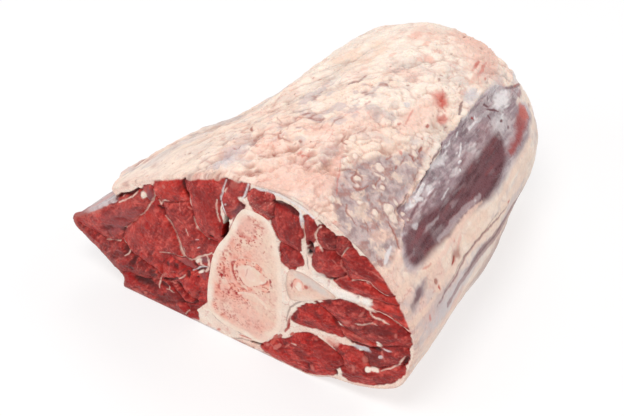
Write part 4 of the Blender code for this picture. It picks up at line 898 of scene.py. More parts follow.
class Side:
    """Colours and heights of the side at given places."""

    def __init__(self, angle, base):
        self.base = base
        self.degrees = (np.degrees(angle) + 180) % 360 - 180
        self.degrees = np.where(self.degrees < -100, self.degrees + 360, self.degrees)
        around = self.degrees * MM_PER_DEGREE
        self.flat = np.stack([around, base[:, 1]], axis=1)
        wobble = np.stack([rough(base, 4.2, 201, 2), rough(base, 4.2, 203, 2)], axis=1)
        self.warped = self.flat + 1.2 * wobble
        self.jitter = 0.5 * noise(base, 1.5, 205)
        self.fine = noise(base, 0.9, 207)
        self.low = step(base[:, 2], 0.4, 7.0)
        self.paint()

    def inside(self, outline, warp=1.0):
        """Distance inside an outline in degrees and y, with a share of the wobble of its edge."""
        loop = closed_curve([(d * MM_PER_DEGREE, y) for d, y in outline], 6)
        return depth_inside(warp * self.warped + (1 - warp) * self.flat, loop)

    def patch(self, outline, soft):
        return step(self.inside(outline) + self.jitter, -soft, soft)

    def paint(self):
        """Works out the relief, then the colours from the fat up to the marks."""
        base = self.base
        # Folds, lobes and beads of the fat, at four sizes
        bent = base + 1.5 * np.stack([rough(base, 6, 208 + k, 2) for k in range(3)], axis=1)
        combed = bent - 0.66 * (bent @ WRINKLES)[:, None] * WRINKLES
        band = step(40 - self.degrees, 0, 26) * step(self.degrees, -75, -45)
        lumpy = step(rough(base, 30, 209, 2) + 0.9 * np.exp(-((self.degrees - 62) / 34) ** 2) - 0.45, -0.35,
                     0.35)
        lumpy *= 1 - 0.9 * band
        swell = rough(combed, 9.5, 211, 3, 0.5)
        broad, broad2 = rough(base, 26, 231, 3), rough(base, 19, 233, 3)
        mid = rough(base, 5.2, 235, 3)
        large = np.abs(rough(combed, 6.2, 215, 2, 0.45))
        small = np.abs(rough(bent - 0.4 * (bent @ WRINKLES)[:, None] * WRINKLES, 3.1, 219, 2, 0.4))
        fine = rough(combed, 1.5, 223, 2)
        near, lead, which = cells(bent - 0.35 * (bent @ WRINKLES)[:, None] * WRINKLES, 5.6, 221)
        lobes = (0.5 - 0.8 * near**2 + 0.9 * (which - 0.5)) * step(lead, 0, 0.26)
        little_near, little_lead, little = cells(bent, 2.8, 225)
        beads = (0.4 - 0.9 * little_near**2 + 0.6 * (little - 0.5)) * step(little_lead, 0, 0.3)
        pillows = np.sqrt(np.clip(large / 0.42, 0, 1) + 0.07)
        knobs = np.sqrt(np.clip(small / 0.45, 0, 1) + 0.07)
        front_pink = step(-base[:, 1], -5, 75) * (1 - 0.6 * step(self.degrees, 100, 135))
        far_top = step(base[:, 1], 10, 60) * step(self.degrees, 60, 90)
        clumped = np.clip(0.5 + 0.4 * lumpy + 0.35 * front_pink, 0, 1.2)
        clumped *= 1 - 0.5 * step(self.degrees, 120, 145)
        clumped *= 1 - 0.4 * far_top
        flap = step(self.degrees, 122, 150) * step(FRONT + 45 - base[:, 1], 0, 30)
        plain_top = step(self.degrees, 80, 98) * step(base[:, 1], -32, 0)
        front_top = step(self.degrees, 52, 66) * (1 - step(self.degrees, 112, 128))
        front_top *= step(-base[:, 1], 38, 62)
        self.height = (2.1 * swell + 0.7 * pillows + (0.2 + 0.4 * lumpy) * knobs + 1.5 * clumped * lobes
                       + 0.6 * clumped * beads + 0.2 * fine + 0.08 * self.fine - 0.9)
        self.height *= 1 - 0.75 * band
        self.height *= 1 - 0.75 * flap
        # Creases between the folds and cracks between the lobes
        crease = step(0.11 - large, 0, 0.1) * step(rough(base, 9, 237, 2), -0.05, 0.4)
        crease = np.maximum(crease, 0.9 * step(0.13 - lead, 0, 0.12)
                            * step(rough(base, 7.5, 253, 2), 0.0, 0.35))
        crack = step(0.10 - small, 0, 0.09) * step(rough(base, 6.5, 243, 2), 0.0, 0.4)
        crack = np.maximum(crack, 0.5 * step(0.11 - little_lead, 0, 0.1)
                           * step(rough(base, 5.5, 255, 2), 0.1, 0.4))

        # Colours of the fat, with painted shade in its hollows, and brown-red in its creases that is partly
        # real tissue colour and partly painted shade
        paint = lay("cream", "ivory", 0.7 * step(mid, -0.2, 0.5))
        paint = lay(paint, "peach", 0.5 * step(rough(base, 12, 259, 3) - 0.006 * base[:, 1], -0.2, 0.4))
        paint = lay(paint, "blush", 0.6 * step(broad + 0.5 * mid + 0.5 * front_pink, 0.15, 0.65))
        paint = lay(paint, "pink_fat", 0.35 * step(rough(bent, 9, 245, 3) + 0.35 * front_pink, 0.3, 0.65))
        paint = lay(paint, "grey_fat", 0.5 * (1 - 0.5 * plain_top) * step(broad2 + 0.6 * mid, 0.2, 0.55))
        veil = step(rough(bent, 10, 238, 3) + 0.2 * front_pink - 0.3 * mid, 0.28, 0.5)
        paint = lay(paint, "lilac", 0.45 * veil * (1 - 0.7 * plain_top) * (1 - step(lobes, -0.1, 0.4)))
        relief = 0.8 * lobes + 0.4 * beads + 0.8 * pillows + 0.3 * knobs + 0.35 * swell
        # Painted shade in the low places of the relief, pink or grey by place
        cavity_shade = step(0.95 - relief, -0.1, 0.8) * (1 - 0.75 * band) * (1 - 0.5 * flap)
        cavity_shade *= 1 - 0.25 * plain_top
        grey_share = step(rough(base, 13, 257, 3) - 0.2 * front_pink, -0.05, 0.35)
        hollow_shade_paint = lay("shade_pink", "grey_film_and_shade", grey_share)
        paint = lay(paint, hollow_shade_paint, (0.55 + 0.25 * front_pink + 0.1 * lumpy) * (1 - 0.35 * far_top)
                    * cavity_shade)
        # Brown-red laid in the creases, partly real tissue colour and partly painted shade
        red_share = step(rough(base, 4.3, 249, 2), -0.2, 0.5)
        crease_paint = lay("brown", "capillary", red_share)
        paint = lay(paint, crease_paint, (0.22 + 0.28 * front_pink) * crease * (1 - 0.6 * band)
                    * (1 - 0.6 * flap))

        # Ruffled fat along the top of the front cut: painted highlight on its raised folds, painted shade in
        # its low ones, and brown-red in its creases that is partly painted shade
        folded = np.abs(rough(combed, 5.0, 302, 2, 0.4))
        folded = step(0.13 - folded, 0, 0.1) * step(rough(base, 8.0, 304, 2), -0.15, 0.25) * front_top
        ruffle = rough(bent, 4.4, 306, 3)
        paint = lay(paint, "ivory", 0.5 * front_top * step(ruffle, 0.0, 0.3))
        paint = lay(paint, "shade_pink", 0.5 * front_top * step(-ruffle, 0.0, 0.35))
        paint = lay(paint, crease_paint, 0.65 * folded)
        paint = lay(paint, "cream", 0.4 * flap)
        self.height += 2.4 * front_top * ruffle - 0.9 * folded
        # Brown-red in the cracks between the lobes, partly painted shade
        paint = lay(paint, crease_paint, (0.18 + 0.16 * lumpy) * crack * (1 - 0.6 * band))

        # Short dark strokes, thin places, veins and specks
        stroke_near, _, stroke = cells(combed, np.array((3.4, 3.4, 3.4)), 239)
        strokes = step(0.17 - stroke_near, 0, 0.09) * (stroke > 0.80 - 0.1 * front_pink) * (1 - 0.8 * band)
        paint = lay(paint, crease_paint * 0.8, 0.7 * strokes)
        self.height -= 0.4 * strokes
        middle = np.exp(-((self.degrees - 92) / 26) ** 2) * np.exp(-((base[:, 1] + 22) / 34) ** 2)
        thin = step(rough(bent, 7, 265, 3) + 0.35 * middle, 0.34, 0.52) * step(middle, 0.1, 0.5)
        paint = lay(paint, lay("lilac", "grey_film_and_shade", step(mid, -0.3, 0.3)), 0.6 * thin)
        # Brown in the creases of the thin places, partly painted shade
        paint = lay(paint, "brown", 0.6 * thin * step(0.12 - large, 0, 0.1))
        veins = np.abs(rough(self.warped, 5.5, 241, 3))
        paint = lay(paint, "capillary", 0.4 * step(0.04 - veins, 0, 0.035)
                    * step(broad + 0.5 * front_pink, 0.15, 0.5))
        specks = cells(self.flat, 6.5, 251)
        dots = step(0.09 - specks[0], 0, 0.05) * (specks[2] > 0.82)
        paint = lay(paint, "brown", 0.5 * dots)
        # Painted shade and highlight: the low places of the relief darker, the high ones a little lighter
        paint *= (1 + 0.04 * step(self.height, 0.0, 1.4) - 0.22 * step(-self.height, 0.0, 1.6))[:, None]

        paint = self.lean_patches(paint, mid)

        # Streaks along the band of thin fat right of the silverskin
        length_streak = rough(base * np.array((1, 0.10, 1)), 3.0, 295, 3)
        paint = lay(paint, "peach", 0.7 * band * step(length_streak, -0.2, 0.4))
        paint = lay(paint, "lilac", 0.3 * band * step(-length_streak + 0.5 * broad, 0.15, 0.5))

        fleck = rough(base, 2.4, 271, 3)
        grain = rough(base, 1.1, 273, 2)
        paint, mottled = self.mottled_web(paint, bent, fleck, grain)
        paint, silver = self.silverskin(paint, grain)
        paint = self.pad_edge(paint, fleck, grain)
        paint = self.marks(paint)
        self.height *= self.low
        self.paint_out = paint * (1 + 0.035 * self.fine)[:, None]
        self.gloss = 0.46 - 0.20 * silver - 0.08 * mottled + 0.10 * mid * (1 - silver)

    def lean_patches(self, paint, mid):
        """Lean meat and membrane that show through the thin fat of the left and lower right sides."""
        base = self.base
        lean_side = step(self.degrees, 140, 178) + step(-self.degrees, 20, 60)
        lean = step(rough(base, 17, 261, 3) + 0.35 * mid, 0.16, 0.5) * np.clip(lean_side, 0, 1)
        streak = rough(base * np.array((1, 0.16, 1)), 2.6, 263, 2)
        paint = lay(paint, lay("maroon", "greyed", step(streak, -0.3, 0.4)), 0.75 * lean)
        self.height -= 0.8 * lean
        veil = step(rough(base, 15, 267, 3), 0.0, 0.3) * np.clip(lean_side, 0, 1)
        paint = lay(paint, lay("membrane", "purple", step(streak, -0.5, 0.6)), 0.7 * veil * (1 - lean))
        return paint

    def mottled_web(self, paint, bent, fleck, grain):
        """The greyish web of membrane left of the silverskin, and its share at each place."""
        base = self.base
        mottled = self.patch(MOTTLED_PATCH, 1.6)
        web = lay("lilac", "purple", step(fleck + 0.6 * grain, -0.3, 0.35))
        web = lay(web, "brown", 0.5 * step(rough(base, 3.1, 277, 2) + 0.3 * grain, 0.15, 0.45))
        web = lay(web, "ivory", 0.62 * step(rough(bent, 4.6, 279, 3) + 0.35 * grain, 0.12, 0.34))
        web = lay(web, "blush", 0.5 * step(rough(base, 7.5, 289, 2), 0.1, 0.4))
        web = web * (1 + 0.22 * grain)[:, None] * WEB_CAST
        paint = lay(paint, web, 0.92 * mottled)
        self.height += mottled * (-0.6 + 0.3 * fleck - 0.5 * self.height)
        return paint, mottled

    def silverskin(self, paint, grain):
        """The bare silverskin with its dark stripe and red strip, and its share at each place."""
        base = self.base
        sharp_side = step(self.degrees + 0.02 * base[:, 1], 24, 30)
        soft_edge = step(self.inside(SILVER_PATCH, 0.25), -3.2, 1.0)
        silver = self.patch(SILVER_PATCH, 0.55) * sharp_side + soft_edge * (1 - sharp_side)
        fibre = rough(base * np.array((1, 0.13, 1)), 1.5, 281, 3)
        cloud = rough(base * np.array((1, 0.4, 1)), 6.0, 283, 3)
        glint = step(rough(base * np.array((1, 0.22, 1)), 2.6, 285, 3) + 0.5 * fibre, 0.14, 0.5)
        skin = lay("lilac", "purple", step(cloud + 0.7 * fibre, -0.3, 0.35))
        skin = lay(skin, "mauve", 0.45 * step(-cloud + 0.9 * fibre - 0.1, 0.0, 0.5) * sharp_side)
        skin = lay(skin, "silver", 0.7 * glint * step(self.degrees, 20, 30))
        shine = step(rough(base * np.array((1, 0.5, 1)), 0.9, 301, 2) + 0.6 * glint, 0.3, 0.8)
        skin = lay(skin, "silver", 0.6 * shine * step(self.degrees, 24, 32))
        thread = step(-rough(base * np.array((1, 0.3, 1)), 1.7, 269, 2) - 0.2 * glint, 0.12, 0.4)
        skin = lay(skin, "dusk", 0.5 * thread * step(self.degrees, 22, 28))
        skin = skin * (1 + 0.5 * rough(base * np.array((1, 0.4, 1)), 1.2, 310, 2)
                       * step(self.degrees, 22, 29))[:, None]
        dusk = np.exp(-((self.degrees - 32) / 7) ** 2 - ((base[:, 1] - 24) / 24) ** 2) * (0.8 + 0.8 * cloud)
        skin = lay(skin, "dusk", 0.6 * np.clip(dusk, 0, 1) * (1 - 0.5 * glint))
        stripe = step(self.inside(DARK_STRIPE, 0.35), -2.2, 2.0)
        dark = lay("violet", "plum", step(fibre, -0.2, 0.5))
        dark = lay(dark, "greyed", 0.30 * step(rough(base * np.array((1, 0.2, 1)), 2.2, 287, 2), 0.1, 0.5))
        bars = np.abs(noise(base * np.array((0.25, 1, 0.25)), 5.0, 297))
        dark = lay(dark, "mauve", 0.35 * step(0.2 - bars, 0, 0.2) * step(-base[:, 1], -10, 20))
        halo = step(self.inside(DARK_STRIPE, 0.5) + 1.2 * cloud + 0.8 * fibre, -7, -1) * sharp_side
        skin = lay(skin, "mauve", 0.55 * halo * step(self.degrees, 21, 24))
        skin = lay(skin, dark, 0.94 * stripe * (1 - 0.3 * glint))
        red = 0.9 * self.patch(RED_STRIP, 1.8)
        lean_red = lay("maroon", "rose", step(fibre + cloud, -0.3, 0.5))
        lean_red = lay(lean_red, "pale_rose", 0.8 * step(base[:, 1], 56, 68))
        lean_red = lay(lean_red, "purple", 0.6 * step(0.24 - bars, 0, 0.2) * step(50 - base[:, 1], 0, 12))
        skin = lay(skin, lean_red, 0.9 * red)
        paint = lay(paint, skin, silver)
        silver_height = -0.35 + 0.12 * fibre + 0.2 * cloud + 0.05 * grain
        self.height = self.height * (1 - silver) + silver * silver_height
        lip = np.exp(-((self.inside(SILVER_PATCH) + 1.4) / 1.1) ** 2) * (1 - silver)
        self.height += 0.35 * lip * sharp_side
        return paint, silver

    def pad_edge(self, paint, fleck, grain):
        """The film below the pad of fat at the upper left, with the crevice and the lip between them; the
        crevice is painted dark as shade.
        """
        base = self.base
        run = base[:, 1] - FRONT
        round_degrees = self.degrees % 360
        below = round_degrees - PAD_EDGE_DEGREES - PAD_EDGE_CLIMB * run + 1.6 * self.jitter
        strip = step(below, -0.6, 1.4) * step(204 - round_degrees, 0, 9) * step(62 - run, 0, 14)
        film = lay("lilac", "purple", step(fleck + 0.5 * grain, -0.4, 0.4))
        film = lay(film, "membrane", 0.6 * step(rough(base, 5.4, 291, 3), 0.0, 0.35))
        film = lay(film, "pale_rose", 0.5 * step(rough(base, 7.5, 293, 2), 0.15, 0.45))
        paint = lay(paint, film, 0.92 * strip)
        self.height = self.height * (1 - 0.8 * strip) - 0.4 * strip
        at_tip = step(round_degrees, 183, 187) * step(238 - round_degrees, 0, 6) * step(9 - run, 0, 5)
        paint = lay(paint, lay("maroon", "pale_rose", 0.5 * step(fleck, -0.1, 0.5)), 0.85 * at_tip)
        # Painted shade in the crevice under the pad
        crevice = np.exp(-((below - 1.2) / 1.1) ** 2) * step(34 - run, 0, 12)
        paint = lay(paint, "dark", 0.85 * crevice)
        self.height -= 1.1 * crevice
        lip = np.exp(-((below + 2.2) / 1.6) ** 2) * step(46 - run, 0, 14)
        paint = lay(paint, "blush", 0.6 * lip)
        self.height += 0.7 * lip
        return paint

    def marks(self, paint):
        """Spots, lines and grains of fat that the photo shows one by one."""
        for tone, strength, height, degrees, y, wide, long, tilt in SIDE_SPOTS:
            share = strength * self.spot(degrees, y, wide, long, tilt)
            paint = lay(paint, tone, share)
            self.height += height * share
        for tone, strength, half, height, path in SIDE_LINES:
            share = strength * self.line(path, half)
            paint = lay(paint, tone, share)
            self.height += height * share
        granular = 0.8 * self.jitter + 1.0 * rough(self.flat, 3.0, 299, 2)
        for degrees, y, radius, height in GRANULES:
            radius *= GRANULE_SHARE
            away = np.hypot(self.warped[:, 0] - degrees * MM_PER_DEGREE, self.warped[:, 1] - y) + granular
            paint = lay(paint, "brown", 0.3 * np.exp(-((away - radius - 0.5) / 0.5) ** 2))
            paint = lay(paint, "ivory", 0.9 * step(radius - away, -0.3, 0.6))
            self.height += height * np.sqrt(np.clip(1 - (away / (radius + 0.4)) ** 2, 0, 1))
        return paint

    def spot(self, degrees, y, wide, long, tilt):
        d = self.warped - np.array((degrees * MM_PER_DEGREE, y))
        c, s = math.cos(math.radians(tilt)), math.sin(math.radians(tilt))
        reach = np.hypot((d[:, 0] * c + d[:, 1] * s) / wide, (d[:, 1] * c - d[:, 0] * s) / long)
        soft = 0.55 if max(wide, long) > 4.5 else 0.35
        return step(1 - reach + 0.25 * self.jitter * 2 + 0.12 * self.fine, -soft, soft)

    def line(self, path, half):
        p = [(d * MM_PER_DEGREE, y) for d, y in path]
        low, high = np.min(p, axis=0) - 4, np.max(p, axis=0) + 4
        near = np.all((self.warped > low) & (self.warped < high), axis=1)
        share = np.zeros(len(self.base))
        mid_warp = 0.5 * (self.warped[near] + self.flat[near])
        away, along = path_distance(mid_warp, p)
        width = half * (0.45 + 0.75 * np.sqrt(np.clip(np.sin(math.pi * np.clip(along, 0.03, 0.97)), 0, 1)))
        share[near] = step(width - away + 0.4 * self.jitter[near], -0.32, 0.32)
        return share


def skin(angle, run):
    """Finished points of the side, with their colours and gloss."""
    base = side_base(angle, run)
    side = Side(angle, base)
    around = side.degrees % 360
    ragged = step(around, 184, 190) * (1 - step(around, 234, 241)) * (1 - step(run, 8, 26))
    ragged = ragged * 2.4 * np.clip(rough(base, 5.5, 308, 3) + 0.12, 0, 1) * side.low
    points = base + side_normal(angle, run) * (side.height * calm(run) + ragged)[:, None]
    points[:, 2] = np.maximum(points[:, 2], 0)
    return points, side.paint_out, side.gloss


def calm(run):
    """Share of the relief that is left near the front cut."""
    return 0.35 + 0.65 * step(run, 0.0, 7.0)


class Cut:
    """Colours and depths of a cut through the meat at points of the front pattern."""

    def __init__(self, points, rim, scale=1.0):
        self.points, self.rim = points, rim
        p = points
        self.jitter = 0.34 * noise(p, 1.5, 301)
        wobble = np.stack([rough(p, 3.6, 303, 2), rough(p, 3.6, 305, 2)], axis=1)
        self.warped = p + 0.75 * wobble
        self.grain = noise(p, 0.75, 307)
        self.scale = scale
        self.paint()

    def paint(self):
        """Finds the muscle at each place, then lays fat, muscles, seams, marks and the rim of fat."""
        p = self.points
        count = len(p)
        lead = np.full(count, -9.0)
        second = np.full(count, -9.0)
        which = np.zeros(count, int)
        names = list(MUSCLES)
        for k, name in enumerate(names):
            inside = depth_inside(self.warped, closed_curve(MUSCLES[name][3], 5), 9.0)
            inside += SWELLS.get(name, MUSCLE_SWELL) - MUSCLE_SWELL
            better = inside > lead
            second = np.where(better, lead, np.maximum(second, inside))
            which = np.where(better, k, which)
            lead = np.maximum(lead, inside)
        fat = lay("cream", "ivory", step(rough(p, 4.5, 311, 3), -0.3, 0.4))
        fat = lay(fat, "blush", 0.6 * step(rough(p, 9, 313, 3), 0.05, 0.45))
        away = p - FRONT_CENTRE
        turn = np.degrees(np.arctan2(away[:, 1], away[:, 0])) % 360
        fat = lay(fat, "pink_fat", 0.45 * step(rough(p, 5.5, 317, 3), -0.05, 0.4) * step(self.rim, 9, 2))
        fat = lay(fat, "capillary", 0.35 * step(0.05 - np.abs(rough(self.warped, 5, 319, 3)), 0, 0.04))
        fat_depth = 0.55 + 0.16 * rough(p, 3.2, 315, 3) + 0.25 * rough(p, 7, 318, 2)

        lower_left = step(turn, 170, 176) * step(235 - turn, 0, 3)
        lead = np.maximum(lead, 9 * lower_left - 9)
        meat = step(lead + MUSCLE_SWELL + self.jitter, -0.28, 0.28)

        lean = np.zeros((count, 3))
        lean_depth = np.zeros(count)
        speckle = cells(self.warped, 1.25, 321)
        fleck = cells(self.warped, 3.6, 323)
        for k, name in enumerate(names):
            mine = (which == k) & (meat > 0)
            if mine.any():
                lean[mine], lean_depth[mine] = self.muscle(k, name, mine, speckle)
        flecked = step(0.12 - fleck[0], 0, 0.08) * (fleck[2] > 0.6) * (lead > 1.2)
        lean = lay(lean, "pale_rose", 0.75 * flecked)

        # Bellies of the muscles and the seams where two of them touch, with painted shade in the seams and
        # along the muscles' edges
        crown = np.clip(lead + MUSCLE_SWELL, 0, 9) / 9
        lean_depth += 1.7 * (1 - crown) ** 2 - 0.8
        between = np.clip((lead - second) / 2, 0, 3)
        touching = step(second, -2.2, -0.6)
        seam = np.exp(-(between / 0.42) ** 2) * touching
        lean = lay(lean, "dark", 0.55 * seam * step(noise(p, 5, 325), -0.5, 0.3))
        lean_depth += 0.55 * seam
        edge = np.exp(-((lead + MUSCLE_SWELL) / 0.45) ** 2)
        lean = lay(lean, "deep", 0.35 * edge)

        paint = lay(fat, lean, meat)
        depth = fat_depth * (1 - meat) + lean_depth * meat
        depth += 0.5 * rough(p, 15, 327, 2)
        if self.scale == 1.0:
            paint, depth = marked(paint, depth, self.warped, self.points, self.jitter, CUT_SPOTS, CUT_LINES)
        # Fat along the rim, in front only where the photo shows it
        shown = step(turn, -1, 0) * step(152 - turn, 0, 8) + step(turn, 286, 300)
        tip = np.exp(-((turn - 188) / 9) ** 2)
        rim_fat = step(1.5 + 0.7 * rough(p, 5, 329, 2) - self.rim, -0.5, 0.6) * np.clip(shown, 0, 1)
        if self.scale != 1.0:
            rim_fat = step(3.2 + 1.2 * rough(p, 9, 329, 2) - self.rim, -0.5, 0.6)
        keep = rim_fat * (0.7 if self.scale == 1.0 else 1.0)
        paint = lay(paint, fat, keep)
        if self.scale == 1.0:
            paint = lay(paint, "pale_rose", 0.75 * tip * step(3.2 - self.rim, 0, 2.2))
        depth = depth * step(self.rim, 0.0, 2.0)
        rounding = np.clip(EDGE_ROUND - self.rim, 0, EDGE_ROUND)
        depth += EDGE_ROUND - np.sqrt(np.maximum(EDGE_ROUND**2 - rounding**2, 0))
        self.paint_out, self.depth = paint, depth
        self.gloss = 0.42 - 0.08 * meat + 0.05 * self.grain

    def muscle(self, k, name, mine, speckle):
        """Colours and depths of muscle k where it shows: bundles, ridges, pits, flecks and strands, with
        painted shade in the sunken pits and ridges.
        """
        tone, other, fibre, _ = MUSCLES[name]
        q = self.points[mine]
        c, s = math.cos(math.radians(fibre)), math.sin(math.radians(fibre))
        turned = np.stack([q[:, 0] * c + q[:, 1] * s, q[:, 1] * c - q[:, 0] * s], axis=1)
        bent = turned + 1.1 * np.stack([rough(q, 4.4, 343 + k, 2), rough(q, 4.4, 347 + k, 2)], axis=1)
        cloud = rough(bent, (8.5, 4.2), 331 + k, 3, 0.6)
        bundles = rough(bent, (4.2, 1.4), 361 + k, 3, 0.6)
        folds = FOLDS.get(name, USUAL_FOLDS)
        bold = 0.55 if tone in ("maroon", "deep", "dark", "greyed") else 1.0
        ridge = np.clip(1 - np.abs(rough(bent, (11.0, 3.4), 471 + k, 2, 0.45)) * 6.0, 0, 1)
        ridge *= step(rough(q, 7.0, 475 + k, 2), -0.3, 0.35)
        pits = step(rough(bent, (7.5, 2.4), 481 + k, 2), 0.22, 0.6)
        paint = lay(tone, other, 0.8 * step(cloud, -0.05, 0.5))
        paint = lay(paint, "bright", 0.35 * bold * step(bundles, 0.05, 0.5))
        paint = lay(paint, "crimson", (0.28 + 0.2 * folds) * bold
                    * step(rough(bent, (7, 4), 401 + k, 3), 0.02, 0.4))
        paint = lay(paint, "blood", 0.4 * folds * step(rough(bent, (6, 3), 405 + k, 2), 0.2, 0.5))
        paint = lay(paint, "greyed", 0.28 * step(rough(q, 3.6, 391 + k, 2), 0.15, 0.6))
        paint = lay(paint, "dark", (0.3 + 0.3 * folds) * step(-bundles + 0.3 * cloud, 0.1, 0.55))
        # Painted shade: dark in the sunken pits and ridges, the shade tone in the ridges' middles
        paint = lay(paint, "dark", 0.6 * folds * pits)
        paint = lay(paint, "dark", (0.25 + 0.35 * folds) * ridge)
        paint = lay(paint, "shade", 0.45 * folds * ridge**3)
        pale = 0.8 if name == "m11" else 0.5 if name in ("m8", "m14c") else 0.22
        rarity = 0.4 if name == "m11" else 0.62
        dots = step(0.30 - speckle[0][mine], 0, 0.22) * (speckle[2][mine] > rarity)
        paint = lay(paint, "line" if name == "m11" else "pale_rose", pale * dots)
        streaky = 0.5 if name in ("m1", "m3", "m10", "m24", "m14b") else 0.18
        paint = lay(paint, "salmon", streaky * step(rough(bent, (5, 0.8), 421 + k, 2), 0.25, 0.6))
        strands = turned * np.array((0.6, 1.0))
        _, strand_lead, strand = cells(strands + 0.5 * self.grain[mine][:, None], 1.9, 451 + k)
        wall = np.clip(1 - strand_lead * 4, 0, 1) * step(rough(q, 6, 455 + k, 2), -0.3, 0.3)
        paint = lay(paint, "pale_rose", 0.20 * wall)
        paint = lay(paint, "rose", 0.5 * step(rough(bent, (6, 3.4), 411 + k, 2), 0.1, 0.5))
        paint = lay(paint, "deep", 0.55 * step(rough(bent, (5.5, 3), 415 + k, 2), 0.12, 0.5))
        shading = 0.32 * self.grain[mine] + 0.25 * (strand - 0.5)
        shading += 0.55 * rough(bent, (5.5, 2.6), 461 + k, 2)
        shading += 0.4 * rough(bent, (2.6, 0.9), 465 + k, 2)
        paint = lay(paint, "pale_rose", 0.6 * np.clip(shading, 0, 0.9))
        paint = lay(paint, "deep", 0.7 * np.clip(-shading, 0, 0.9))
        paint = paint * np.clip(1.02 + 0.5 * shading, 0.72, 1.4)[:, None] * LEAN_CAST
        depth = (-0.25 * bundles - 0.34 * cloud - 0.08 * self.grain[mine] + 0.12 * wall
                 + 0.4 * folds * ridge + 0.3 * folds * pits)
        return paint, depth


def marked(paint, depth, warped, points, jitter, spots, lines):
    """Colours and depths with spots and lines laid over them."""
    for tone, strength, sink, x, z, long, wide, tilt in spots:
        reach_out = max(long, wide) * 1.8 + 1
        near = np.hypot(points[:, 0] - x, points[:, 1] - z) < reach_out
        if not near.any():
            continue
        d = warped[near] - np.array((x, z))
        c, s = math.cos(math.radians(tilt)), math.sin(math.radians(tilt))
        reach = np.hypot((d[:, 0] * c + d[:, 1] * s) / long, (d[:, 1] * c - d[:, 0] * s) / wide)
        soft = 0.3 if tone in ("cream", "black", "membrane", "silver") else 0.5
        share = strength * step(1 - reach + 0.5 * jitter[near], -soft, soft)
        paint[near] = lay(paint[near], tone, share)
        depth[near] += sink * share
    for tone, strength, half, sink, path in lines:
        low, high = np.min(path, axis=0) - 3, np.max(path, axis=0) + 3
        near = np.all((points > low) & (points < high), axis=1)
        if not near.any():
            continue
        away, along = path_distance(0.5 * (warped[near] + points[near]), path)
        slim = LINE_WIDTH if tone in ("cream", "silver", "pale_rose") else 1.0
        width = half * slim * (0.5 + 0.65 * np.sqrt(np.sin(math.pi * np.clip(along, 0.04, 0.96))))
        width *= 1 + 0.35 * noise(warped[near], 2.6, 345)
        share = strength * step(width - away + 0.3 * jitter[near], -0.24, 0.24)
        if tone in ("cream", "silver"):
            share *= 0.62 + 0.38 * step(noise(warped[near], 1.7, 341), -0.6, 0.3)
        paint[near] = lay(paint[near], "line" if tone == "cream" else tone, share)
        depth[near] += sink * share
    return paint, depth


def bone_face(points, rim, spots, core, hole):
    """Colours, depths and gloss of a sawn bone end at front pattern points, rim mm from its outline."""
    p = points
    jitter = 0.3 * noise(p, 1.4, 501)
    warped = p + 0.7 * np.stack([rough(p, 2.2, 503, 2), rough(p, 2.2, 505, 2)], axis=1)
    count = len(p)
    large = core == "bone_core"
    hard = lay("bone_rim", "cream", step(rough(p, 6, 507, 2), -0.2, 0.5))
    creamy = step(p[:, 0] + 0.08 * (p[:, 1] - 45) + 5 * rough(p, 12, 541, 2), 8,
                  24) if large else np.zeros(count)
    pale = np.maximum(0.9 * step(rough(p, 7.5, 509, 3), -0.2, 0.45), creamy)
    spongy = lay(core, "peach", pale)
    spongy = lay(spongy, "blush", 0.6 * step(rough(p, 3.1, 513, 2), 0, 0.5))
    red = np.full(count, 0.16)
    for x, z, wide, high, strength in BONE_SPECKLE if large else ():
        red = np.maximum(red, strength * step(1.25 - np.hypot((p[:, 0] - x) / wide, (p[:, 1] - z) / high), 0,
                                              0.5))
    spongy = lay(spongy, "bone_flush", 0.9 * red * step(rough(p, 2.6, 531, 3), -0.2, 0.4))
    pores = cells(warped, 1.35, 511)
    holes = step(0.42 - pores[0], 0, 0.18) * (pores[2] > 0.30)
    spongy = lay(spongy, "bone_red", np.clip(1.2 * red, 0, 1) * holes
                 * step(rough(p, 3.2, 515, 2), -0.4, 0.15))
    nicks = cells(warped * np.array((1.0, 0.7)), 2.9, 533)
    dark = step(0.21 - nicks[0], 0, 0.10) * (nicks[2] > 0.5)
    spongy = lay(spongy, "bone_blood", 0.85 * red * dark)
    share = step(rim + 1.3 * rough(p, 7, 517, 3), 1.4, 5.0)
    paint = lay(hard, spongy, np.maximum(share, 0.0 if large else 0.88))
    if not large:
        paint = lay(paint, "shadow", 0.25 * step(0.9 - rim, 0, 0.8))
    around = np.hypot((p[:, 0] - hole[0]) / hole[2], (p[:, 1] - hole[1]) / hole[3])
    paint = lay(paint, "peach", 0.7 * step(1.14 + 0.1 * rough(p, 3, 543, 2) - around, 0, 0.15))
    if large:
        left = step(hole[0] + 4 - p[:, 0], -4, 8) + 0.7 * step(hole[1] - p[:, 1], 2, 8)
        ring = np.exp(-((around - 1.04 + 0.12 * rough(p, 4, 547, 2)) / 0.075) ** 2)
        level = 1 - 0.75 * step(np.abs(p[:, 1] - 48.6), 4.5, 8)
        paint = lay(paint, "bone_red", 0.7 * level * ring * step(rough(p, 2.2, 545, 2) + 0.25 * left, 0.15,
                                                                 0.45))
        paint = lay(paint, "bone_blood", 0.8 * level * ring * step(rough(p, 1.6, 549, 2) + 0.2 * left, 0.32,
                                                                   0.55))
    depth = 0.14 * holes * share * red + 0.1 * rough(p, 9, 519, 2) + 0.05 * noise(p, 1.1, 521)
    paint, depth = marked(paint, depth, warped, p, jitter, spots, BONE_LINES if large else ())
    return paint * (1 + 0.035 * noise(p, 0.7, 523))[:, None], depth, 0.42 + 0.06 * noise(p, 2, 525)


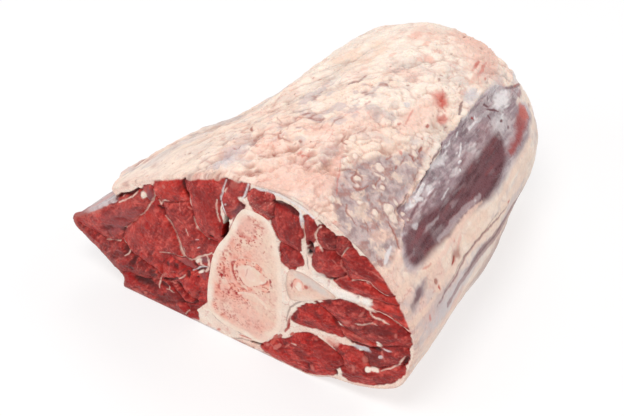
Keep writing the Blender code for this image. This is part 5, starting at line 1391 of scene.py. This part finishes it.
def marrow_face(points, rim, tone):
    """Colours, depths and gloss of the marrow in a sawn bone end."""
    p = points
    paint = lay(tone, "cream", 0.55 * step(rough(p, 3.4, 601, 3), -0.1, 0.35))
    paint = lay(paint, "blush", 0.7 * step(rough(p, 4.5, 619, 3), 0.0, 0.3))
    paint = lay(paint, "blush", 0.4 * step(rough(p, 6, 603, 2), 0.1, 0.5))
    paint = lay(paint, "bone_core", 0.35 * step(rough(p, 3.0, 621, 2), 0.0, 0.4))
    paint = lay(paint, "bone_core", 0.7 * step(1.5 + 2.4 * rough(p, 3.6, 615, 2) - rim, 0, 1.2))
    paint = lay(paint, "bone_red", 0.5 * step(0.9 - rim, 0, 0.6) * step(rough(p, 2.0, 617, 2), 0.0, 0.3))
    if tone == "peach":
        within = depth_inside(p + 0.6 * np.stack([rough(p, 2.4, 623, 2), rough(p, 2.4, 625, 2)], axis=1),
                              closed_curve(MARROW_SHAPE, 6))
        spongy = lay("bone_core", "peach", 0.8 * step(rough(p, 3.1, 627, 2), -0.3, 0.3))
        spongy = lay(spongy, "bone_flush", 0.4 * step(rough(p, 2.6, 629, 3), -0.1, 0.4))
        pores = cells(p, 1.35, 631)
        spongy = lay(spongy, "bone_red", 0.7 * step(0.42 - pores[0], 0, 0.18) * (pores[2] > 0.6))
        paint = lay(paint, spongy, step(-within, -0.3, 0.5))
        edge = np.exp(-((within + 0.2) / 0.5) ** 2) * step(rough(p, 2.0, 633, 2), -0.1, 0.3)
        paint = lay(paint, "bone_red", 0.75 * edge)
        paint = lay(paint, "bone_blood", 0.7 * edge * step(rough(p, 1.6, 635, 2) - 0.02 * (p[:, 0] - 8), 0.15,
                                                           0.4))
    depth = 0.22 * rough(p, 5, 605, 3)
    warped = p + 0.3 * np.stack([rough(p, 2.5, 607, 2), rough(p, 2.5, 609, 2)], axis=1)
    paint, depth = marked(paint, depth, warped, p, 0.3 * noise(p, 1.2, 611), (), MARROW_LINES)
    return paint, depth, 0.34 + 0.05 * noise(p, 1.5, 613)


class Mesh:
    """Points, faces, colours and gloss of a piece while it is put together."""

    def __init__(self):
        self.points, self.paints, self.glosses, self.faces = [], [], [], []
        self.count = 0

    def add(self, points, paint, gloss):
        """Adds points and returns their numbers."""
        numbers = np.arange(self.count, self.count + len(points))
        self.points.append(np.asarray(points, float))
        self.paints.append(np.broadcast_to(paint, (len(points), 3)))
        self.glosses.append(np.broadcast_to(gloss, (len(points),)))
        self.count += len(points)
        return numbers

    def quads(self, faces):
        self.faces.append(np.asarray(faces, int))

    def band(self, outer, inner):
        """Quads between two rings of as many vertices."""
        self.quads(np.stack([outer, np.roll(outer, -1), np.roll(inner, -1), inner], axis=1))

    def sheet(self, grid):
        """Quads over a grid of vertex numbers."""
        self.quads(np.stack([grid[:-1, :-1], grid[:-1, 1:], grid[1:, 1:], grid[1:, :-1]], axis=-1).reshape(-1,
                                                                                                           4))

    def zip(self, a, b, shares_a, shares_b):
        """Triangles between two rows of vertices, each with its share of the way along."""
        i = j = 0
        found = []
        while i < len(a) - 1 or j < len(b) - 1:
            if j == len(b) - 1 or (i < len(a) - 1 and shares_a[i + 1] <= shares_b[j + 1]):
                found.append((a[i], a[i + 1], b[j]))
                i += 1
            else:
                found.append((a[i], b[j + 1], b[j]))
                j += 1
        self.quads(found)

    def zip_rings(self, a, b, flat_a, flat_b):
        """Triangles between two rings of vertices that turn the same way, with their x, z points."""
        first = np.argmin(np.hypot(*(flat_b - flat_a[0]).T))
        b, flat_b = np.roll(b, -first), np.roll(flat_b, -first, 0)
        shares = []
        for flat in (flat_a, flat_b):
            closed = np.vstack([flat, flat[:1]])
            run = np.concatenate([[0], np.cumsum(np.hypot(*np.diff(closed, axis=0).T))])
            shares.append(run / run[-1])
        self.zip(np.append(a, a[0]), np.append(b, b[0]), *shares)

    def make(self, name, material, node, normals=None):
        mesh = bpy.data.meshes.new(name)
        points = np.vstack(self.points) * MM
        flat, starts, totals = [], [], []
        at = 0
        for block in self.faces:
            n = block.shape[1]
            flat.append(block.ravel())
            starts.append(at + np.arange(len(block)) * n)
            totals.append(np.full(len(block), n))
            at += block.size
        flat, starts, totals = np.concatenate(flat), np.concatenate(starts), np.concatenate(totals)
        mesh.vertices.add(len(points))
        mesh.vertices.foreach_set("co", points.astype(np.float32).ravel())
        mesh.loops.add(len(flat))
        mesh.loops.foreach_set("vertex_index", flat.astype(np.int32))
        mesh.polygons.add(len(starts))
        mesh.polygons.foreach_set("loop_start", starts.astype(np.int32))
        mesh.polygons.foreach_set("loop_total", totals.astype(np.int32))
        mesh.update(calc_edges=True)
        mesh.validate()
        attribute = mesh.color_attributes.new("paint", "FLOAT_COLOR", "POINT")
        rgba = np.hstack([np.vstack(self.paints), np.concatenate(self.glosses)[:, None]])
        attribute.data.foreach_set("color", np.clip(rgba, 0, 1).astype(np.float32).ravel())
        mesh.shade_smooth()
        mesh.materials.append(material)
        piece = bpy.data.objects.new(name, mesh)
        bpy.context.scene.collection.objects.link(piece)
        fix_normals(piece)
        if normals is not None:
            every = np.zeros((len(points), 3))
            every[:len(normals)] = normals
            piece.data.normals_split_custom_set_from_vertices(every.tolist())
        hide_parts(node)
        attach(piece, "root")
        return piece


def fix_normals(piece):
    """Turns all faces outward."""
    shape = bmesh.new()
    shape.from_mesh(piece.data)
    bmesh.ops.recalc_face_normals(shape, faces=shape.faces)
    shape.to_mesh(piece.data)
    shape.free()


def plate(loops, spacing):
    """A square grid between the first loop and the others, snapped to them.

    Returns its points, quads and the ring of vertex numbers along each loop.
    """
    low, high = loops[0].min(0) - spacing, loops[0].max(0) + spacing
    xs, zs = (np.arange(low[k], high[k] + spacing, spacing) for k in (0, 1))
    grid = np.stack(np.meshgrid(xs, zs, indexing="ij"), axis=-1)
    shape = grid.shape[:2]
    points = grid.reshape(-1, 2)
    depth = depth_inside(points, loops[0], 3.0)
    for hole in loops[1:]:
        depth = np.minimum(depth, -depth_inside(points, hole, 3.0))
    good = (depth > -0.3 * spacing).reshape(shape)
    keep = good[:-1, :-1] & good[1:, :-1] & good[:-1, 1:] & good[1:, 1:]
    keep = np.pad(keep, 1)
    while True:
        a, b, c, d = keep[:-1, :-1], keep[1:, :-1], keep[:-1, 1:], keep[1:, 1:]
        crossed = (a & d & ~b & ~c) | (b & c & ~a & ~d)
        if not crossed.any():
            break
        i, j = np.argwhere(crossed)[0]
        keep[i, j] = keep[i + 1, j] = keep[i, j + 1] = keep[i + 1, j + 1] = False
    keep = keep[1:-1, 1:-1]
    number = np.arange(len(points)).reshape(shape)
    quads = np.stack([number[:-1, :-1], number[1:, :-1], number[1:, 1:], number[:-1, 1:]], axis=-1)[keep]
    used = np.unique(quads)
    renumber = np.full(len(points), -1)
    renumber[used] = np.arange(len(used))
    quads, points = renumber[quads], points[used]
    edges = np.concatenate([quads[:, [k, (k + 1) % 4]] for k in range(4)])
    forward = edges[:, 0].astype(np.int64) * len(points) + edges[:, 1]
    backward = edges[:, 1].astype(np.int64) * len(points) + edges[:, 0]
    rim = edges[~np.isin(forward, backward)]
    after = dict(map(tuple, rim))
    rings = []
    while after:
        start = next(iter(after))
        ring = [start]
        nxt = after.pop(start)
        while nxt != start:
            ring.append(nxt)
            nxt = after.pop(nxt)
        rings.append(np.array(ring))
    rings = [ring for ring in rings if len(ring) > 8]
    ordered = []
    for loop in loops:
        best = min(rings, key=lambda ring: np.mean(np.abs(depth_inside(points[ring], loop, 60.0))))
        points[best] = nearest_on(points[best], loop)
        ordered.append(best)
    return points, quads, ordered


def nearest_on(points, loop):
    """The nearest place on a closed loop to each point."""
    best, place = np.full(len(points), 1e9), points.copy()
    for start, end in zip(loop, np.roll(loop, -1, 0)):
        away, u = segment(points, start, end)
        at = start + u[:, None] * (end - start)
        nearer = away < best
        place[nearer] = at[nearer]
        best = np.minimum(best, away)
    return place


def evenly(curve, spacing):
    """Points at equal spacing along a closed curve."""
    closed = np.vstack([curve, curve[:1]])
    run = np.concatenate([[0], np.cumsum(np.hypot(*np.diff(closed, axis=0).T))])
    want = np.linspace(0, run[-1], max(8, int(run[-1] / spacing)), endpoint=False)
    return np.stack([np.interp(want, run, closed[:, k]) for k in (0, 1)], axis=1)


def at_y(flat, y):
    """Points x, z set at a place along the bones."""
    return np.stack([flat[:, 0], np.broadcast_to(y, len(flat)), flat[:, 1]], axis=1)


def front_slab(bones, material):
    """The front cut of the meat, with a short stretch of the side around it."""
    turn = np.linspace(-math.pi, math.pi, FRONT_TURNS, endpoint=False)
    ring, _, _ = skin(turn, np.full(FRONT_TURNS, EDGE_ROUND))
    loop = ring[:, [0, 2]]
    points, quads, rings = plate([loop] + bones, CUT_SPACING)
    rim = np.minimum(loop_distance(points, loop), 30)
    cut = Cut(points, rim)
    mesh = Mesh()
    by_bone = np.minimum.reduce([loop_distance(points, bone, 3.0) for bone in bones])
    depth = BONE_RECESS + (cut.depth - BONE_RECESS) * step(by_bone, 0, 1.6)
    depth[rings[0]] = EDGE_ROUND
    _, edge_paint, _ = skin(turn, np.full(FRONT_TURNS, EDGE_ROUND + 0.4))
    from_middle = points - FRONT_CENTRE
    angle_at = np.arctan2(from_middle[:, 1], from_middle[:, 0])
    edge_colour = np.stack([np.interp(angle_at, turn, edge_paint[:, k], period=2 * math.pi)
                            for k in range(3)], axis=1)
    by_edge = step(JOIN_WIDTH + 0.5 * noise(points, 2.2, 351) - rim, 0, 1.0)
    cut.paint_out = lay(cut.paint_out, edge_colour, 0.9 * by_edge * (rim < 2.6))
    face = at_y(points, FRONT + depth)
    normals = face_normals(face, quads, -1)
    normals[rings[0]] = 0
    numbers = mesh.add(face, cut.paint_out, cut.gloss)
    mesh.quads(numbers[quads])
    rim_points = points[rings[0]]
    away = rim_points - FRONT_CENTRE
    angles = np.arctan2(away[:, 1], away[:, 0])
    last = rings[0]
    rows = [skin(angles, np.full(len(angles), EDGE_ROUND + run)) for run in RING_RUNS]
    ring_grid = np.stack([np.concatenate([row[0][-1:], row[0], row[0][:1]]) for row in rows])
    ring_normals = grid_normals(ring_grid).reshape(ring_grid.shape)[:, 1:-1]
    outward = np.stack([np.cos(angles), np.zeros(len(angles)), np.sin(angles)], axis=1)
    for row, (ring, side_paint, gloss) in list(enumerate(rows[:-1]))[1:]:
        turned = ring_normals[row] * np.sign(np.sum(ring_normals[row] * outward, axis=1))[:, None]
        ring = ring - turned * RING_TUCKS[row]
        now = mesh.add(ring, side_paint, gloss)
        normals = np.vstack([normals, turned])
        mesh.band(last, now)
        last = now
    centre = np.array((FRONT_CENTRE[0], 0, FRONT_CENTRE[1]))
    tucked = centre + (ring - centre) * np.array((0.975, 1, 0.97))
    tucked[:, 1] = FRONT + SLAB_DEPTH
    now = mesh.add(tucked, side_paint, gloss)
    mesh.band(last, now)
    back_loop = evenly(tucked[:, [0, 2]], BACK_SPACING * 0.6)
    back_points, back_quads, back_rings = plate([back_loop] + [evenly(b, 3.0) for b in bones], BACK_SPACING
                                                * 0.5)
    back = mesh.add(at_y(back_points, FRONT + SLAB_DEPTH), colour("deep"), HIDDEN_GLOSS)
    mesh.quads(back[back_quads])
    mesh.zip_rings(now, back[back_rings[0]], tucked[:, [0, 2]], back_points[back_rings[0]])
    for hole, back_hole in zip(rings[1:], back_rings[1:]):
        wall = mesh.add(at_y(points[hole], FRONT + SLAB_DEPTH - WALL_GAP), colour("deep"), HIDDEN_GLOSS)
        mesh.band(numbers[hole], wall)
        mesh.zip_rings(wall, back[back_hole], points[hole], back_points[back_hole])
    return mesh.make("cut_front", material, "meat", normals)


def loop_distance(points, loop, reach=6.0):
    """Distance to a closed loop, worked out near it only."""
    result = np.full(len(points), reach)
    coarse = loop[::6]
    near = np.min([np.hypot(*(points - p).T) for p in coarse], axis=0) < reach + 3
    result[near] = np.minimum(path_distance(points[near], np.vstack([loop, loop[:1]]))[0], reach)
    return result


def far_slab(bones, material):
    """The far cut of the meat, let into the rounded end."""
    turn = np.linspace(-math.pi, math.pi, FAR_TURNS, endpoint=False)
    ring, _, _ = skin(turn, np.full(FAR_TURNS, STRAIGHT_RUN + ROUND_RUN * FAR_CUT_SHARE))
    loop = ring[:, [0, 2]]
    points, quads, rings = plate([loop] + bones, FAR_CUT_SPACING)
    rim = loop_distance(points, loop, 12.0)
    cut = Cut(to_front(points), rim, 0.6)
    mesh = Mesh()
    by_bone = np.minimum.reduce([loop_distance(points, bone, 3.0) for bone in bones])
    depth = BONE_RECESS + (cut.depth * 0.8 - BONE_RECESS) * step(by_bone, 0, 1.6)
    depth[rings[0]] = EDGE_ROUND
    face = at_y(points, -FRONT - depth)
    normals = face_normals(face, quads, 1)
    numbers = mesh.add(face, cut.paint_out, cut.gloss)
    mesh.quads(numbers[quads])
    back_points, back_quads, back_rings = plate([evenly(loop, 3.5)] + [evenly(b, 3.0) for b in bones], 3.0)
    back = mesh.add(at_y(back_points, -FRONT - SLAB_DEPTH - 1), colour("deep"), HIDDEN_GLOSS)
    mesh.quads(back[back_quads])
    for k, (edge, back_edge) in enumerate(zip(rings, back_rings)):
        wall = mesh.add(at_y(points[edge], -FRONT - SLAB_DEPTH), colour("ivory" if k == 0 else "deep"),
                        HIDDEN_GLOSS)
        mesh.band(numbers[edge], wall)
        mesh.zip_rings(wall, back[back_edge], points[edge], back_points[back_edge])
    return mesh.make("cut_far", material, "meat", normals)


def cover_piece(name, start, end, spacing, row_spacing, material):
    """A stretch of the side between two angles in degrees, closed on its inner side.

    One more column on both sides is worked out and left off again, so the normals run on across joins.
    """
    rows = int(WHOLE_RUN / row_spacing) + 1
    runs = np.linspace(COVER_START, WHOLE_RUN - 0.4, rows)
    steps = evenly_angles(start, end, spacing)
    steps = np.concatenate([[2 * steps[0] - steps[1]], steps, [2 * steps[-1] - steps[-2]]])
    angle, run = np.meshgrid(steps, runs)
    shape = angle.shape
    angle, run = angle.ravel(), run.ravel()
    base = side_base(angle, run)
    side = Side(angle, base)
    normal = grid_normals(base.reshape(shape + (3,)))
    tuck = COVER_TUCK * (1 - step(run, COVER_START + 0.1, COVER_START + 1.2))
    points = base + normal * (side.height * calm(run))[:, None]
    shown = np.zeros(shape, bool)
    shown[:, 1:-1] = True
    shown = shown.ravel()
    finished = grid_normals(points.reshape(shape + (3,)))[shown]
    points -= normal * tuck[:, None]
    points[:, 2] = np.maximum(points[:, 2], 0)
    shape = (shape[0], shape[1] - 2)
    points, normal = points[shown], normal[shown]
    mesh = Mesh()
    grid = mesh.add(points, side.paint_out[shown], side.gloss[shown]).reshape(shape)
    mesh.sheet(grid)
    pick_rows = np.unique(np.linspace(0, shape[0] - 1, 30).astype(int))
    pick_cols = np.unique(np.linspace(0, shape[1] - 1, 24).astype(int))
    inner_points = (points - normal * COVER_THICKNESS).reshape(shape + (3,))[np.ix_(pick_rows, pick_cols)]
    inner = mesh.add(inner_points.reshape(-1, 3), colour("deep"), 0.5).reshape(len(pick_rows), len(pick_cols))
    mesh.sheet(inner)
    for outer_line, inner_line, picks in (
        (grid[0], inner[0], pick_cols), (grid[-1], inner[-1], pick_cols),
        (grid[:, 0], inner[:, 0], pick_rows), (grid[:, -1], inner[:, -1], pick_rows),
    ):
        mesh.zip(outer_line, inner_line, np.arange(len(outer_line)), picks)
    return mesh.make(name, material, "meat", finished)


def evenly_angles(start, end, spacing):
    """Angles between two in degrees, evenly spaced along the side at three tenths of the length from the
    front.
    """
    angle = np.radians(np.linspace(start, end, 800))
    ring = side_base(angle, np.full(800, LENGTH * 0.3))
    run = np.concatenate([[0], np.cumsum(np.linalg.norm(np.diff(ring, axis=0), axis=1))])
    return np.interp(np.linspace(0, run[-1], int(run[-1] / spacing) + 1), run, angle)


def grid_normals(grid):
    """Normals of a grid of points, away from the middle of the body."""
    along = np.gradient(grid, axis=0)
    around = np.gradient(grid, axis=1)
    normal = np.cross(around, along)
    normal /= np.maximum(np.linalg.norm(normal, axis=2), 1e-9)[..., None]
    middle = grid.mean(axis=(0, 1)) - np.array((FRONT_CENTRE[0], 0, FRONT_CENTRE[1]))
    if np.sum(normal.mean(axis=(0, 1)) * middle * np.array((1, 0, 1))) < 0:
        normal = -normal
    return normal.reshape(-1, 3)


def face_normals(points, quads, towards):
    """Normals of the points of a face that looks forwards or backwards along y, without its walls."""
    a, b, c, d = (points[quads[:, k]] for k in range(4))
    normal = np.cross(c - a, d - b)
    normal *= np.sign(normal[:, 1] * towards)[:, None]
    total = np.zeros_like(points)
    for k in range(4):
        np.add.at(total, quads[:, k], normal)
    return total / np.maximum(np.linalg.norm(total, axis=1), 1e-9)[:, None]


def bone_piece(name, outline, hole, spots, core, material, spacing):
    """A bone with both sawn faces; hole is the marrow's oval, or None for the marrow itself."""
    mesh = Mesh()
    ends, normals = [], []
    for front in (True, False):
        place = (lambda p: p) if front else to_far
        loops = [place(closed_curve(outline, 10) if hole is not None else outline)]
        if hole is not None:
            loops.append(place(oval(*hole)))
        grid_step = spacing if front else spacing * 1.6
        points, quads, rings = plate(loops, grid_step)
        pattern = points if front else to_front(points)
        rim = loop_distance(pattern, loops[0] if front else to_front(loops[0]), 9.0)
        if hole is not None:
            paint, depth, gloss = bone_face(pattern, rim, spots if front else (), core, hole)
            edge = np.minimum(rim, loop_distance(pattern, oval(*hole), 3.0))
        else:
            paint, depth, gloss = marrow_face(pattern, rim, core)
            edge = rim
        depth = depth * step(edge, 0, 1.2) + BONE_RECESS
        y = FRONT + depth if front else -FRONT - depth
        face = at_y(points, y)
        numbers = mesh.add(face, paint, gloss)
        mesh.quads(numbers[quads])
        normals.append(face_normals(face, quads, -1 if front else 1))
        ends.append((points, numbers, rings))
    (near_points, near, near_rings), (far_points, far, far_rings) = ends
    for near_ring, far_ring in zip(near_rings, far_rings):
        in_front = near_points[near_ring]
        behind = to_front(far_points[far_ring])
        mesh.zip_rings(near[near_ring], far[far_ring], in_front, behind)
    return mesh.make(name, material, name, np.vstack(normals))


def fill(node, values):
    """Sets inputs of a node by their names."""
    for key, value in values.items():
        node.inputs[key].default_value = value


def grain_node(nodes, links, place, size, detail):
    """Noise of a size in millimetres at the given place."""
    node = nodes.new("ShaderNodeTexNoise")
    fill(node, {"Scale": 1 / (size * MM), "Detail": detail})
    links.new(place.outputs["Object"], node.inputs["Vector"])
    return node


def principled(name, subsurface, radius, bump_size, bump, tint_size, tint, specular, shine):
    """A moist surface that takes its colour and gloss from the paint, with fine grain of its own."""
    material = bpy.data.materials.new(name)
    material.use_nodes = True
    nodes, links = material.node_tree.nodes, material.node_tree.links
    shader = nodes["Principled BSDF"]
    fill(shader, {
        "Metallic": 0.0, "IOR": 1.38, "Subsurface Weight": subsurface, "Subsurface Scale": 1.0,
        "Subsurface Radius": tuple(radius * share * MM for share in SUBSURFACE_REACH),
        "Specular IOR Level": specular, "Coat Weight": shine, "Coat Roughness": 0.16,
    })
    paint = nodes.new("ShaderNodeAttribute")
    paint.attribute_name = "paint"
    place = nodes.new("ShaderNodeTexCoord")
    grain = grain_node(nodes, links, place, tint_size, 3.0)
    spread = nodes.new("ShaderNodeMapRange")
    fill(spread, {"From Min": 0.3, "From Max": 0.7, "To Min": 1 - tint, "To Max": 1 + tint})
    links.new(grain.outputs["Fac"], spread.inputs["Value"])
    shade = nodes.new("ShaderNodeVectorMath")
    shade.operation = "SCALE"
    links.new(paint.outputs["Color"], shade.inputs[0])
    links.new(spread.outputs["Result"], shade.inputs["Scale"])
    links.new(shade.outputs["Vector"], shader.inputs["Base Color"])
    wet = grain_node(nodes, links, place, bump_size * WET_PATCH, 2.0)
    gloss = nodes.new("ShaderNodeMath")
    gloss.operation = "MULTIPLY_ADD"
    gloss.inputs[1].default_value = 0.22
    links.new(wet.outputs["Fac"], gloss.inputs[0])
    offset = nodes.new("ShaderNodeMath")
    offset.operation = "SUBTRACT"
    offset.inputs[1].default_value = 0.08
    links.new(paint.outputs["Alpha"], offset.inputs[0])
    links.new(offset.outputs["Value"], gloss.inputs[2])
    links.new(gloss.outputs["Value"], shader.inputs["Roughness"])
    pits = grain_node(nodes, links, place, bump_size, 4.0)
    raised = nodes.new("ShaderNodeBump")
    fill(raised, {"Strength": bump, "Distance": BUMP_DEPTH * MM})
    links.new(pits.outputs["Fac"], raised.inputs["Height"])
    links.new(raised.outputs["Normal"], shader.inputs["Normal"])
    return material


def floor_material():
    material = bpy.data.materials.new("floor")
    material.use_nodes = True
    shader = material.node_tree.nodes["Principled BSDF"]
    fill(shader, {
        "Base Color": (0.36, 0.355, 0.355, 1.0), "Roughness": 0.7, "Specular IOR Level": 0.1,
        "Emission Color": (1.0, 0.995, 0.995, 1.0), "Emission Strength": FLOOR_GLOW,
    })
    return material


def back_direction(azimuth, elevation):
    a, e = math.radians(azimuth), math.radians(elevation)
    return Vector((math.sin(a) * math.cos(e), -math.cos(a) * math.cos(e), math.sin(e)))


def aimed(thing, azimuth, elevation, distance):
    """Puts a camera or light at a distance from the target and turns it to look there."""
    away = back_direction(azimuth, elevation)
    thing.location = (Vector(CAMERA_TARGET) + away * distance) * MM
    thing.rotation_euler = away.to_track_quat("Z", "Y").to_euler()
    bpy.context.scene.collection.objects.link(thing)


def surroundings():
    """Floor, lights, world and camera."""
    mesh = bpy.data.meshes.new("floor")
    h = FLOOR_HALF * MM
    mesh.from_pydata([(-h, -h, 0), (h, -h, 0), (h, h, 0), (-h, h, 0)], [], [(0, 1, 2, 3)])
    mesh.materials.append(floor_material())
    floor = bpy.data.objects.new("floor", mesh)
    bpy.context.scene.collection.objects.link(floor)
    for name, azimuth, elevation, distance, size, power in LIGHTS:
        lamp = bpy.data.lights.new(name, "AREA")
        lamp.shape = "DISK"
        lamp.size = size * MM
        lamp.energy = power
        aimed(bpy.data.objects.new(name, lamp), azimuth, elevation, distance)
    world = bpy.data.worlds.new("world")
    world.use_nodes = True
    fill(world.node_tree.nodes["Background"], {"Color": (1.0, 1.0, 1.0, 1.0), "Strength": WORLD_LIGHT})
    bpy.context.scene.world = world
    lens = bpy.data.cameras.new("camera")
    lens.lens = CAMERA_LENS
    lens.sensor_width = 36.0
    lens.clip_start = 0.01
    camera = bpy.data.objects.new("camera", lens)
    aimed(camera, CAMERA_AZIMUTH, CAMERA_ELEVATION, CAMERA_DISTANCE)
    bpy.context.scene.camera = camera
    bpy.context.scene.view_settings.view_transform = "Standard"
    bpy.context.scene.view_settings.look = "None"


def main():
    fat = principled("fat", 0.10, 1.2, 0.55, 0.45, 1.1, 0.05, 0.45, 0.06)
    meat = principled("meat", 0.08, 0.8, 0.45, 0.50, 0.7, 0.10, 0.30, 0.06)
    bone = principled("bone", 0.08, 1.0, 0.40, 0.35, 0.8, 0.04, 0.40, 0.03)
    marrow = principled("marrow", 0.12, 1.2, 0.70, 0.25, 1.0, 0.03, 0.40, 0.06)
    bones = [closed_curve(RADIUS_OUTLINE, 10), closed_curve(ULNA_OUTLINE, 10)]
    front_slab(bones, meat)
    far_slab([to_far(b) for b in bones], meat)
    for name, start, end, spacing, row_spacing in COVERS:
        cover_piece(name, start, end, spacing * QUICK, row_spacing * QUICK, fat)
    bone_piece("radius_bone", RADIUS_OUTLINE, RADIUS_MARROW, BONE_SPOTS, "bone_core", bone,
               BONE_SPACING)
    bone_piece("ulna_bone", ULNA_OUTLINE, ULNA_MARROW, ULNA_SPOTS, "grey_bone", bone, BONE_SPACING)
    bone_piece("radius_marrow", oval(*RADIUS_MARROW), None, (), "peach", marrow, BONE_SPACING)
    bone_piece("ulna_marrow", oval(*ULNA_MARROW), None, (), "cream", marrow, BONE_SPACING)
    surroundings()


main()
